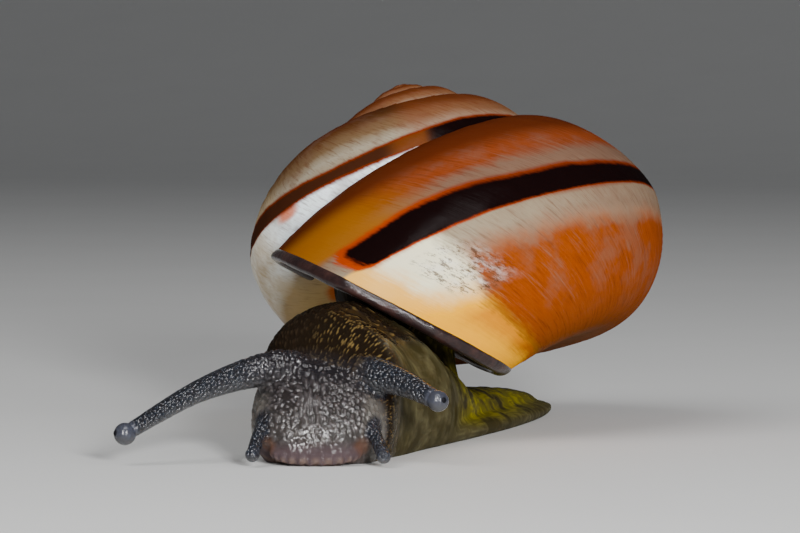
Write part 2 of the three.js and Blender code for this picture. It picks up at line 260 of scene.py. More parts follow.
def curve_points(rows: Points, t: Points) -> Points:
    """A smooth curve through rows, at shares t of its length.

    Args:
        rows: Points on the curve, in order.
        t: Shares from 0 to 1.

    Returns:
        A row for each share.
    """
    rows = np.asarray(rows, float)
    steps = np.linalg.norm(np.diff(rows, axis=0), axis=1)
    knots = np.concatenate([[0], np.cumsum(np.sqrt(steps))])
    knots /= knots[-1]
    ends = np.vstack([2 * rows[0] - rows[1], rows, 2 * rows[-1] - rows[-2]])
    slopes = (ends[2:] - ends[:-2]) / 2
    at = np.clip(np.asarray(t, float), 0, 1)
    i = np.clip(np.searchsorted(knots, at, side="right") - 1, 0, len(rows) - 2)
    s = ((at - knots[i]) / (knots[i + 1] - knots[i]))[:, None]
    return (
        (2 * s**3 - 3 * s**2 + 1) * rows[i]
        + (s**3 - 2 * s**2 + s) * slopes[i]
        + (3 * s**2 - 2 * s**3) * rows[i + 1]
        + (s**3 - s**2) * slopes[i + 1]
    )


# ---------------------------------------------------------------- materials


@dataclass
class Recipe:
    """A material's node tree, with short calls for the nodes that the finishes use."""

    name: str
    material: bpy.types.Material = field(init=False)

    def __post_init__(self) -> None:
        """Makes the material and empties its tree."""
        self.material = bpy.data.materials.new(self.name)
        self.material.use_nodes = True
        self.tree = self.material.node_tree
        self.tree.nodes.clear()

    def node(self, kind: str, inputs: dict | None = None, **settings: object) -> bpy.types.Node:
        """Adds a node.

        Args:
            kind: The node's type.
            inputs: A value or a socket for each named or numbered input.
            **settings: The node's own properties.

        Returns:
            The node.
        """
        made = self.tree.nodes.new(kind)
        for key, value in settings.items():
            setattr(made, key, value)
        for key, value in (inputs or {}).items():
            if isinstance(value, bpy.types.NodeSocket):
                self.tree.links.new(value, made.inputs[key])
            else:
                made.inputs[key].default_value = value
        return made

    def attribute(self, name: str) -> Socket:
        """A number stored on the mesh."""
        return self.node("ShaderNodeAttribute", attribute_name=name).outputs["Fac"]

    def math(self, operation: str, *values: Value) -> Socket:
        """One sum on values or sockets."""
        return self.node("ShaderNodeMath", dict(enumerate(values)), operation=operation).outputs[0]

    def times(self, first: Value, second: Value) -> Socket:
        """The product of two values."""
        return self.math("MULTIPLY", first, second)

    def most(self, first: Value, second: Value) -> Socket:
        """The larger of two values."""
        return self.math("MAXIMUM", first, second)

    def swayed(self, value: Value, cloud: Socket, amount: float) -> Socket:
        """A value moved by a noise from 0 to 1, by up to half of amount either way."""
        return self.math("MULTIPLY_ADD", self.math("SUBTRACT", cloud, 0.5), amount, value)

    def span(self, value: Value, low: float, high: float, start: float = 0.0, end: float = 1.0) -> Socket:
        """Maps low..high smoothly to start..end."""
        inputs = {0: value, 1: low, 2: high, 3: start, 4: end}
        return self.node("ShaderNodeMapRange", inputs, interpolation_type="SMOOTHSTEP").outputs[0]

    def mix(self, factor: Value, first: Shade, second: Shade) -> Socket:
        """The first colour at a factor of 0, the second at 1.

        Args:
            factor: The share of the second colour.
            first: The colour at 0.
            second: The colour at 1.

        Returns:
            The mixed colour.
        """
        made = self.node("ShaderNodeMix", data_type="RGBA")
        for index, value in ((0, factor), (6, first), (7, second)):
            if isinstance(value, bpy.types.NodeSocket):
                self.tree.links.new(value, made.inputs[index])
            else:
                made.inputs[index].default_value = value
        return made.outputs[2]

    def ramp(self, value: Value, stops: list[tuple[float, Colour]]) -> Socket:
        """A colour ramp.

        Args:
            value: Its factor, from 0 to 1.
            stops: Places and colours.

        Returns:
            Its colour.
        """
        made = self.node("ShaderNodeValToRGB", {0: value})
        elements = made.color_ramp.elements
        while len(elements) < len(stops):
            elements.new(1.0)
        for element, (place, colour) in zip(elements, stops):
            element.position = place
            element.color = colour
        return made.outputs[0]

    def vector(self, x: Value, y: Value, z: Value = 0.0) -> Socket:
        """Three numbers as a vector."""
        return self.node("ShaderNodeCombineXYZ", {0: x, 1: y, 2: z}).outputs[0]

    def noise(self, vector: Socket, scale: float, detail: float = 3.0, rough: float = 0.55) -> Socket:
        """Soft noise from 0 to 1."""
        inputs = {"Vector": vector, "Scale": scale, "Detail": detail, "Roughness": rough}
        return self.node("ShaderNodeTexNoise", inputs).outputs[0]

    def place(self) -> Socket:
        """Object coordinates."""
        return self.node("ShaderNodeTexCoord").outputs["Object"]

    def bump(self, relief: Socket, height: float, strength: float, under: Socket | None = None) -> Socket:
        """A bump of the given height in metres, over another one if given.

        Args:
            relief: Heights from 0 to 1.
            height: The height of 1, in metres.
            strength: How strongly it shows.
            under: The normal of a bump below it.

        Returns:
            The bumped normal.
        """
        inputs = {"Height": relief, "Distance": height, "Strength": strength}
        if under is not None:
            inputs["Normal"] = under
        return self.node("ShaderNodeBump", inputs).outputs[0]

    def surface(self, **inputs: Value | tuple) -> bpy.types.Material:
        """Ends the tree in a principled shader.

        Args:
            **inputs: Its inputs, with _ for a space.

        Returns:
            The material.
        """
        named = {key.replace("_", " "): value for key, value in inputs.items()}
        shader = self.node("ShaderNodeBsdfPrincipled", named)
        self.node("ShaderNodeOutputMaterial", {"Surface": shader.outputs[0]})
        return self.material


def rgb(red: float, green: float, blue: float) -> Colour:
    """A linear colour with full alpha."""
    return (red, green, blue, 1.0)


# ---------------------------------------------------------------- shell


@dataclass(frozen=True)
class WhorlForm:
    """The growth law of the shell, in millimetres and radians.

    q is the growth angle back from the aperture. phi runs round a whorl's section, 0 at the periphery
    and 90 degrees at the top. Shares are of the outer radius.
    """

    diameter: float = 22.0
    whorls: float = 4.6
    growth: float = 0.082
    slowing: float = 0.0013
    outer_half_width: float = 0.374
    inner_half_width: float = 0.598
    top_half_height: float = 0.45
    base_half_height: float = 0.481
    shoulder_power: float = 1.38
    spire_rise: float = 0.848
    spire_power: float = 1.085
    early_lean: tuple = (1.27, 1.66, -0.8)
    early_lean_turns: tuple = (0.6, 2.0)
    drop: float = 2.25
    drop_angle: float = 2.04
    aperture_tilt: float = 44.3 * DEGREE
    aperture_turn: float = -71.7 * DEGREE
    aperture_setback: float = 2.47
    apex: tuple = (-4.53, 9.09, 14.95)
    lean: tuple = (-14.09 * DEGREE, -20.33 * DEGREE, -107.46 * DEGREE)
    search_start: float = -1.4
    search_step: float = 0.1
    search_steps: int = 38
    halvings: int = 22
    centring_rounds: int = 4
    first_q: float = -1.1
    past_apex: float = 0.3

    def scale(self, q: Points) -> Points:
        """The size of the whorl at q, as a share of the size at the aperture."""
        return np.exp(-(self.growth * q + self.slowing * q * q))

    def outer_radius(self) -> float:
        """The radius at the aperture that gives the shell its diameter."""
        return self.diameter / (1 + float(self.scale(math.pi)))

    def axis(self, q: Points) -> Points:
        """Points of the shell's axis beside the whorl at q; the first whorls stand off it.

        Args:
            q: Growth angles.

        Returns:
            A row for each angle.
        """
        lean = smooth_step(self.early_lean_turns[0], self.early_lean_turns[1], np.asarray(q) / TURN)
        rise = self.spire_rise * self.outer_radius() * self.scale(q) ** self.spire_power
        return lean[..., None] * np.array(self.early_lean) - rise[..., None] * np.array([0.0, 0.0, 1.0])

    def middle(self, q: Points) -> tuple[Points, Points]:
        """The distance of the section's middle from the axis and its drop below axis(q)."""
        radius = (1 - self.outer_half_width) * self.outer_radius() * self.scale(q)
        return radius, self.drop * np.clip(1 - q / self.drop_angle, 0, None) ** 2

    def half_sizes(self, q: Points, out: Points, up: Points, inset: Points | float) -> tuple[Points, Points]:
        """The section's half width and half height on the side that out and up give by their signs.

        Args:
            q: Growth angles.
            out: Above 0 on the outer side.
            up: Above 0 on the top side.
            inset: How far the wall is moved in.

        Returns:
            Half widths and half heights.
        """
        size = self.outer_radius() * self.scale(q)
        width = np.where(out > 0, self.outer_half_width, self.inner_half_width) * size - inset
        height = np.where(up > 0, self.top_half_height, self.base_half_height) * size - inset
        return width, height

    def point(self, q: Points, phi: Points, inset: Points | float = 0.0) -> Points:
        """Points of the wall in the shell's own frame.

        Args:
            q: Growth angles.
            phi: Angles round the section.
            inset: How far the wall is moved in.

        Returns:
            One row for each point.
        """
        q, phi = np.broadcast_arrays(np.asarray(q, float), np.asarray(phi, float))
        out, up = np.cos(phi), np.sin(phi)
        power = np.where((out > 0) & (up > 0), self.shoulder_power, 1.0)
        width, height = self.half_sizes(q, out, up, inset)
        radius, drop = self.middle(q)
        radius = radius + width * signed_power(out, power)
        level = height * signed_power(up, power) - drop
        return self.axis(q) + np.stack([radius * np.cos(q), radius * np.sin(q), level], axis=-1)

    def to_row(self) -> Matrix:
        """The shell's place over the foot."""
        return Matrix.Translation(self.apex) @ Euler(self.lean, "ZYX").to_matrix().to_4x4()

    def stand(self, places: Points) -> Points:
        """Moves points from the shell's frame to its place over the foot."""
        matrix = np.array(self.to_row())
        return places @ matrix[:3, :3].T + matrix[:3, 3]

    def aperture(self) -> tuple[Points, Points]:
        """A point of the aperture plane and its outward normal, in the shell's frame.

        Returns:
            The point and the normal.
        """
        tilt, turn = self.aperture_tilt, self.aperture_turn
        normal = np.array([math.sin(tilt) * math.cos(turn), math.sin(tilt) * math.sin(turn), -math.cos(tilt)])
        return self.point(0.0, 0.0) - self.aperture_setback * normal, normal

    def growth_at_depth(self, phi: Points, depth: Points | float, inset: Points | float = 0.0) -> Points:
        """The growth angle at which each wall line lies depth behind the aperture plane.

        Args:
            phi: Angles round the section.
            depth: Distances behind the plane.
            inset: How far the wall is moved in.

        Returns:
            A growth angle for each line.
        """
        origin, normal = self.aperture()
        phi, depth, inset = np.broadcast_arrays(np.asarray(phi, float), depth, inset)
        low = np.full(phi.shape, self.search_start)
        found = np.zeros(phi.shape, bool)
        for _ in range(self.search_steps):
            outside = (self.point(low, phi, inset) - origin) @ normal > -depth
            found |= ~outside
            low = np.where(found, low, low + self.search_step)
        high = low
        low = low - self.search_step
        for _ in range(self.halvings):
            middle = (low + high) / 2
            outside = (self.point(middle, phi, inset) - origin) @ normal > -depth
            low = np.where(outside, middle, low)
            high = np.where(outside, high, middle)
        return high

    def locate(self, places: Points) -> tuple[Points, Points, Points]:
        """Finds q and phi for points on the wall.

        Args:
            places: Points in the frame of the whole animal.

        Returns:
            Their growth angles, their angles round the section and their distances from the wall.
        """
        matrix = np.array(self.to_row().inverted())
        own = places @ matrix[:3, :3].T + matrix[:3, 3]
        best = np.full(len(own), np.inf)
        found_q = np.zeros(len(own))
        found_phi = np.zeros(len(own))
        for whorl in range(int(self.whorls) + 2):
            q = np.arctan2(own[:, 1], own[:, 0]) + TURN * whorl
            for _ in range(self.centring_rounds):
                off = own - self.axis(q)
                q = np.arctan2(off[:, 1], off[:, 0]) + TURN * whorl
            off = own - self.axis(q)
            middle_radius, drop = self.middle(q)
            out, up = np.hypot(off[:, 0], off[:, 1]) - middle_radius, off[:, 2] + drop
            width, height = self.half_sizes(q, out, up, 0.0)
            power = np.where((out > 0) & (up > 0), self.shoulder_power, 1.0)
            across = signed_power(out / width, 1 / power)
            above = signed_power(up / height, 1 / power)
            miss = np.abs(np.hypot(across, above) - 1) * self.scale(q)
            miss[(q < self.first_q) | (q > TURN * self.whorls + self.past_apex)] = np.inf
            closer = miss < best
            best = np.where(closer, miss, best)
            found_q = np.where(closer, q, found_q)
            found_phi = np.where(closer, np.arctan2(above, across), found_phi)
        return found_q, found_phi, best


@dataclass(frozen=True)
class GrowthSockets:
    """Where each point lies in the shell's growth, and the noises that its markings follow."""

    around: Socket
    age: Socket
    growth: Socket
    band: Socket
    fine: Socket
    broad: Socket
    blotch: Socket

    @classmethod
    def read(cls, r: Recipe) -> "GrowthSockets":
        """Reads the shell's attributes and makes the noises.

        Args:
            r: The material's recipe.

        Returns:
            Degrees round the section, the age in millimetres, the growth angle, degrees inside the dark
            band, fine and slow growth lines, and cloudy noise.
        """
        around, age, growth, band = (r.attribute(name) for name in ("around", "age", "growth", "band"))
        fine_slope, broad_slope, broad_place = 0.012, 0.006, 7.0
        fine = r.noise(r.vector(age, r.times(around, fine_slope)), scale=6.0, detail=4.0, rough=0.65)
        slow = r.vector(age, r.times(around, broad_slope), broad_place)
        broad = r.noise(slow, scale=0.85, detail=2.0, rough=0.5)
        blotch = r.noise(r.place(), scale=420.0, detail=4.0, rough=0.65)
        return cls(around, age, growth, band, fine, broad, blotch)


@dataclass(frozen=True)
class ShellFinish:
    """Rusty brown glossy shell with cream along one near-black band, and fine growth lines.

    Each pair or row of four numbers says where a marking fades: the values at which it starts and is full
    and, in a row of four, how strong it is at each. Places round a whorl's section are in degrees, ages in
    millimetres back from the aperture as it stood before the lip, and growths in radians.
    """

    rust: Colour = rgb(0.2, 0.038, 0.009)
    rust_low: Colour = rgb(0.23, 0.04, 0.0015)
    rust_base: Colour = rgb(0.17, 0.038, 0.001)
    rust_dark: Colour = rgb(0.085, 0.016, 0.004)
    strip: Colour = rgb(0.16, 0.092, 0.06)
    cream: Colour = rgb(0.26, 0.21, 0.14)
    # White of the flaked patch beside the lip, partly a painted highlight.
    chalk_and_highlight: Colour = rgb(0.75, 0.74, 0.7)
    # Milky white below the band near the lip, partly a painted highlight.
    milk_and_highlight: Colour = rgb(0.78, 0.72, 0.5)
    # Bluish white of the earlier whorls, partly a painted reflection.
    pale: Colour = rgb(0.9, 0.98, 1.0)
    beige: Colour = rgb(0.5, 0.34, 0.14)
    fawn: Colour = rgb(0.16, 0.1, 0.05)
    mist: Colour = rgb(0.3, 0.26, 0.19)
    tawny: Colour = rgb(0.11, 0.045, 0.015)
    umber: Colour = rgb(0.05, 0.018, 0.006)
    amber: Colour = rgb(0.55, 0.19, 0.0)
    amber_low: Colour = rgb(0.27, 0.07, 0.0)
    gold: Colour = rgb(0.25, 0.085, 0.003)
    yellow: Colour = rgb(0.8, 0.36, 0.0)
    olive: Colour = rgb(0.15, 0.075, 0.004)
    stain: Colour = rgb(0.55, 0.09, 0.001)
    black: Colour = rgb(0.005, 0.0018, 0.0018)
    band_brown: Colour = rgb(0.04, 0.012, 0.005)
    edge: Colour = rgb(0.3, 0.03, 0.0)
    edge_old: Colour = rgb(0.08, 0.01, 0.001)
    break_brown: Colour = rgb(0.13, 0.034, 0.006)

    old_growth: tuple = (4.3, 5.5)
    last_whorl: tuple = (4.4, 3.6)
    zone_blotch: float = 16.0
    zone_fine: float = 9.0

    tired_age: tuple = (5.0, 14.0, 0.0, 0.6)
    tired_low: tuple = (-14.0, -8.0)
    tired_high: tuple = (20.0, 14.0)

    dark_lines: tuple = (0.46, 0.74, 0.0, 0.55)
    light_lines: tuple = (0.52, 0.3)
    light_groups: tuple = (0.4, 0.62, 0.1, 0.55)
    light_low: tuple = (-75.0, -30.0, 0.15, 1.0)
    dull_blotches: tuple = (0.48, 0.68, 0.0, 0.4)

    glow_fine: float = 1.0
    glow_blotch: float = 1.6
    glow_reach: tuple = (-45.0, -8.0, 2.25, 3.7)
    glow_back: tuple = (-0.6, 0.5)
    glow_high: tuple = (8.0, 4.0)
    glow_slant: float = 2.2
    glow_shift: float = -5.5
    glow_wander: float = 12.0
    yellow_age: tuple = (1.7, 0.35, 0.0, 0.85)
    groove_back: tuple = (0.5, 0.1)
    groove_low: tuple = (-30.0, -42.0, 0.0, 0.6)
    gold_low: tuple = (20.0, 26.0)
    gold_age: tuple = (2.5, 7.5, 0.92, 0.0)

    body_seam: tuple = (42.0, 58.0, 0.0, 0.95)
    upper_seam: tuple = (46.0, 62.0)
    upper_growth: tuple = (6.2, 6.9, 0.0, 0.85)
    spire_growth: tuple = (6.75, 7.0, 0.0, 0.35)
    dull_start: tuple = (5.95, 5.6, 0.0, 0.6)
    dull_end: tuple = (4.3, 5.4)
    dull_high: tuple = (48.0, 24.0)
    dull_cloud: tuple = (0.3, 0.6, 0.4, 1.0)
    stains: tuple = (((5.97, -3.5), (0.13, 7.0)), ((5.86, -84.0), (0.22, 17.0)))
    stain_cloud: float = 1.6
    stain_edge: tuple = (1.0, 0.2, 0.0, 0.85)

    # Where the flaked patch lies; its white is partly a painted highlight.
    wear_and_highlight_start: tuple = (1.4, 2.6)
    wear_and_highlight_end: tuple = (5.4, 3.0)
    wear_and_highlight_high: tuple = (-3.0, -11.0)
    wear_and_highlight_low: tuple = (-34.0, -25.0)
    flakes: tuple = (0.44, 0.7, 0.0, 0.65)
    speck_patch: tuple = (0.05, 0.4)
    specks: tuple = (0.5, 0.58, 0.0, 0.8)

    ragged_broad: float = -2.2
    ragged_fine: float = -3.0
    start_fine: float = 0.8
    start_round: float = 0.45
    start_corner: tuple = (0.0, 7.0)
    core_start: tuple = (1.5, 1.9)
    edge_start: tuple = (1.0, 1.45)
    core_side: tuple = (0.4, 3.8)
    edge_side: tuple = (-2.4, 1.2)
    edge_age: tuple = (3.0, 9.0, 0.0, 0.7)
    break_start: tuple = (6.7, 6.85, 0.0, 0.8)
    break_end: tuple = (7.06, 6.98)
    # On the spire the band turns black, partly a painted shadow in the suture groove.
    spire_black: tuple = (7.0, 7.1)

    ridge_height: float = 0.00004
    pit_height: float = 0.000012

    def material(self) -> bpy.types.Material:
        """Builds the shell's material from its growth attributes.

        Returns:
            The material.
        """
        r = Recipe("glossy_banded_shell")
        at = GrowthSockets.read(r)
        ground = self.zoned(r, at)
        for marking in (self.tired, self.streaked, self.glow, self.seamed):
            ground = marking(r, at, ground)
        # The flaked patch beside the lip is partly a painted highlight.
        ground, wear_and_highlight = self.wear_and_highlight(r, at, ground)
        # Dark inside the aperture: the shell's brown inside, darkened further as painted shade of the recess.
        colour = r.mix(r.attribute("hollow"), self.banded(r, at, ground), self.umber)
        normal = self.relief(r, at, wear_and_highlight)
        rough = r.math("MULTIPLY_ADD", wear_and_highlight, 0.15, r.span(at.blotch, 0.3, 0.8, 0.32, 0.45))
        return r.surface(
            Base_Color=colour,
            Roughness=rough,
            Normal=normal,
            Specular_IOR_Level=0.0,
            Subsurface_Weight=0.06,
            Subsurface_Radius=(1.0, 0.45, 0.2),
            Subsurface_Scale=0.0004,
            Coat_Weight=0.06,
            Coat_Roughness=0.2,
            Coat_Normal=normal,
        )

    def relief(self, r: Recipe, at: GrowthSockets, wear_and_highlight: Socket) -> Socket:
        """The surface relief: growth ridges with small pits, rougher where the shell has weathered.

        Args:
            r: Builds the nodes.
            at: The shell's growth values.
            wear_and_highlight: How much of each point is white flake, weathered skin that is also a painted
                highlight.

        Returns:
            The bumped normal.
        """
        ridge = r.math("MULTIPLY_ADD", at.fine, 0.7, r.times(at.broad, 0.9))
        low = r.bump(ridge, self.ridge_height, 0.6)
        pits = r.noise(r.place(), scale=2600.0, detail=4.0, rough=0.65)
        pits = r.math("MULTIPLY_ADD", wear_and_highlight, r.noise(r.place(), scale=1500.0), pits)
        return r.bump(pits, self.pit_height, 0.6, low)

    @staticmethod
    def colour_round(r: Recipe, around: Socket, rows: tuple) -> Socket:
        """The colour at a place round the section, from rows of a place and a colour.

        Args:
            r: Builds the nodes.
            around: Degrees round the section.
            rows: Degrees and colours, in order.

        Returns:
            The colour there.
        """
        share = r.math("DIVIDE", r.math("ADD", around, HALF_CIRCLE), 2 * HALF_CIRCLE)
        stops = [((place + HALF_CIRCLE) / (2 * HALF_CIRCLE), colour) for place, colour in rows]
        return r.ramp(share, stops)

    def zoned(self, r: Recipe, at: GrowthSockets) -> Socket:
        """The ground colours from the axis under the base to the suture: paler on the earlier whorls, whose
        bluish white is partly a painted reflection.

        Args:
            r: Builds the nodes.
            at: The shell's growth values.

        Returns:
            The ground colour.
        """
        around = r.swayed(r.swayed(at.around, at.blotch, self.zone_blotch), at.fine, self.zone_fine)
        young = self.colour_round(r, around, (
            (-170.0, self.beige),
            (-120.0, self.fawn),
            (-80.0, self.rust_base),
            (-45.0, self.rust_low),
            (-19.0, self.rust_low),
            (-6.5, self.cream),
            (4.0, self.cream),
            (24.0, self.strip),
            (31.0, self.strip),
            (38.0, self.rust),
            (80.0, self.rust),
            (100.0, self.rust_dark),
        ))
        old = self.colour_round(r, around, (
            (-170.0, self.beige),
            (-70.0, self.beige),
            (-48.0, self.cream),
            # The bluish white here is partly a painted reflection.
            (-34.0, self.pale),
            (-2.0, self.pale),
            (14.0, self.cream),
            (24.0, self.mist),
            (38.0, self.fawn),
            (56.0, self.tawny),
            (72.0, self.rust_dark),
        ))
        return r.mix(r.span(at.growth, *self.old_growth), young, old)

    def tired(self, r: Recipe, at: GrowthSockets, ground: Socket) -> Socket:
        """Dulls the cream under the band the further back it lies.

        Args:
            r: Builds the nodes.
            at: The shell's growth values.
            ground: The colour so far.

        Returns:
            The dulled colour.
        """
        share = r.times(r.span(at.age, *self.tired_age), r.span(at.around, *self.tired_low))
        share = r.times(share, r.span(at.around, *self.tired_high))
        return r.mix(r.times(share, r.span(at.growth, *self.last_whorl)), ground, self.strip)

    def streaked(self, r: Recipe, at: GrowthSockets, ground: Socket) -> Socket:
        """Draws dark and light growth lines and dull blotches over the ground colour.

        Args:
            r: Builds the nodes.
            at: The shell's growth values.
            ground: The colour so far.

        Returns:
            The streaked colour.
        """
        ground = r.mix(r.span(at.fine, *self.dark_lines), ground, self.rust_dark)
        light = r.times(r.span(at.fine, *self.light_lines), r.span(at.broad, *self.light_groups))
        high = r.span(at.around, *self.light_low)
        ground = r.mix(r.times(light, high), ground, self.strip)
        return r.mix(r.times(r.span(at.blotch, *self.dull_blotches), high), ground, self.strip)

    def glow(self, r: Recipe, at: GrowthSockets, ground: Socket) -> Socket:
        """Colours the last stretch before the lip: gold above the band, milky to amber below it, the milky
        white partly a painted highlight.

        Args:
            r: Builds the nodes.
            at: The shell's growth values.
            ground: The colour so far.

        Returns:
            The colour with the glow.
        """
        age = r.swayed(r.swayed(at.age, at.fine, self.glow_fine), at.blotch, self.glow_blotch)
        reach = r.math("SUBTRACT", r.span(at.around, *self.glow_reach), age)
        below = r.times(r.span(reach, *self.glow_back), r.span(at.around, *self.glow_high))
        slanted = r.math("MULTIPLY_ADD", at.age, self.glow_slant, r.math("ADD", at.around, self.glow_shift))
        low = self.colour_round(r, r.swayed(slanted, at.blotch, self.glow_wander), (
            (-100.0, self.amber_low),
            (-76.0, self.amber_low),
            (-62.0, self.amber),
            (-44.0, self.amber),
            (-36.0, self.yellow),
            # The milky white is partly a painted highlight.
            (-20.0, self.milk_and_highlight),
            (0.0, self.milk_and_highlight),
        ))
        low = r.mix(r.span(age, *self.yellow_age), low, self.yellow)
        groove = r.times(r.span(reach, *self.groove_back), r.span(at.around, *self.groove_low))
        low = r.mix(groove, low, self.olive)
        above = r.times(r.span(at.around, *self.gold_low), r.span(age, *self.gold_age))
        return r.mix(below, r.mix(above, ground, self.gold), low)

    def seamed(self, r: Recipe, at: GrowthSockets, ground: Socket) -> Socket:
        """Darkens the top of each whorl towards its seam, and dulls and stains the earlier whorls.

        Args:
            r: Builds the nodes.
            at: The shell's growth values.
            ground: The colour so far.

        Returns:
            The darkened colour.
        """
        body = r.times(r.span(at.around, *self.body_seam), r.span(at.growth, *self.last_whorl))
        ground = r.mix(body, ground, self.rust_dark)
        upper = r.times(r.span(at.around, *self.upper_seam), r.span(at.growth, *self.upper_growth))
        ground = r.mix(upper, ground, self.umber)
        ground = r.mix(r.span(at.growth, *self.spire_growth), ground, self.rust)
        dull = r.times(r.span(at.growth, *self.dull_start), r.span(at.growth, *self.dull_end))
        cloud = r.times(r.span(at.around, *self.dull_high), r.span(at.blotch, *self.dull_cloud))
        ground = r.mix(r.times(dull, cloud), ground, self.beige)
        for (growth, around), (half_growth, half_around) in self.stains:
            off = r.math("DIVIDE", r.math("SUBTRACT", at.growth, growth), half_growth)
            side = r.math("DIVIDE", r.math("SUBTRACT", at.around, around), half_around)
            far = r.swayed(r.math("ADD", r.times(off, off), r.times(side, side)), at.blotch, self.stain_cloud)
            ground = r.mix(r.span(far, *self.stain_edge), ground, self.stain)
        return ground

    def wear_and_highlight(self, r: Recipe, at: GrowthSockets, ground: Socket) -> tuple[Socket, Socket]:
        """Lays the flaked patch of weathered skin beside the lip; its white flakes are partly a painted
        highlight.

        Args:
            r: The material's recipe.
            at: The growth of each point.
            ground: The colour under the patch.

        Returns:
            The colour, and how much of each point is white flake, weathered skin that is partly a painted
            highlight.
        """
        along = r.times(r.span(at.age, *self.wear_and_highlight_start), r.span(at.age, *self.wear_and_highlight_end))
        across = r.times(r.span(at.around, *self.wear_and_highlight_high), r.span(at.around, *self.wear_and_highlight_low))
        patch = r.times(along, across)
        flakes = r.vector(at.age, r.times(at.around, 0.08), 3.0)
        flakes = r.noise(flakes, scale=1.6, detail=6.0, rough=0.7)
        # White flakes of weathered skin, partly a painted highlight.
        flaked_and_highlit = r.times(patch, r.span(flakes, *self.flakes))
        specks = r.vector(at.age, r.times(at.around, 0.045), 9.0)
        specks = r.noise(specks, scale=4.0, detail=6.0, rough=0.8)
        spotted = r.times(r.span(patch, *self.speck_patch), r.span(specks, *self.specks))
        return r.mix(spotted, r.mix(flaked_and_highlit, ground, self.chalk_and_highlight), self.umber), flaked_and_highlit

    def banded(self, r: Recipe, at: GrowthSockets, ground: Socket) -> Socket:
        """Lays the dark spiral band with its orange edges over the ground colour; on the spire its black is
        partly a painted shadow in the suture groove.

        Args:
            r: Builds the nodes.
            at: The shell's growth values.
            ground: The colour so far.

        Returns:
            The banded colour.
        """
        inside = r.swayed(r.swayed(at.band, at.broad, self.ragged_broad), at.fine, self.ragged_fine)
        start = r.math("MULTIPLY_ADD", at.fine, self.start_fine, at.age)
        start = r.math("MULTIPLY_ADD", r.span(inside, *self.start_corner), self.start_round, start)
        edge = r.times(r.span(inside, *self.edge_side), r.span(start, *self.edge_start))
        core = r.times(r.span(inside, *self.core_side), r.span(start, *self.core_start))
        rim = r.mix(r.span(at.age, *self.edge_age), self.edge, self.edge_old)
        band = r.mix(r.span(at.growth, *self.old_growth), self.black, self.band_brown)
        gap = r.times(r.span(at.growth, *self.break_start), r.span(at.growth, *self.break_end))
        band = r.mix(gap, band, self.break_brown)
        # Black on the spire, partly painted shade in the suture groove.
        band = r.mix(r.span(at.growth, *self.spire_black), band, self.black)
        return r.mix(core, r.mix(edge, ground, rim), band)


@dataclass(frozen=True)
class LipFinish:
    """The dark brown, glossy lip."""

    dark: Colour = rgb(0.014, 0.007, 0.007)
    brown: Colour = rgb(0.04, 0.017, 0.014)
    patchy: tuple = (0.4, 0.7)
    ripple_height: float = 0.00008

    def material(self) -> bpy.types.Material:
        """Builds the lip's material.

        Returns:
            The material.
        """
        r = Recipe("dark_lip")
        cloud = r.noise(r.place(), scale=1100.0, detail=4.0, rough=0.65)
        ripple = r.noise(r.place(), scale=1500.0, detail=5.0, rough=0.65)
        normal = r.bump(ripple, self.ripple_height, 0.8)
        return r.surface(
            Base_Color=r.mix(r.span(cloud, *self.patchy), self.dark, self.brown),
            Roughness=0.38,
            Normal=normal,
            Specular_IOR_Level=0.05,
            Coat_Normal=normal,
            Coat_Weight=0.7,
            Coat_Roughness=0.14,
        )


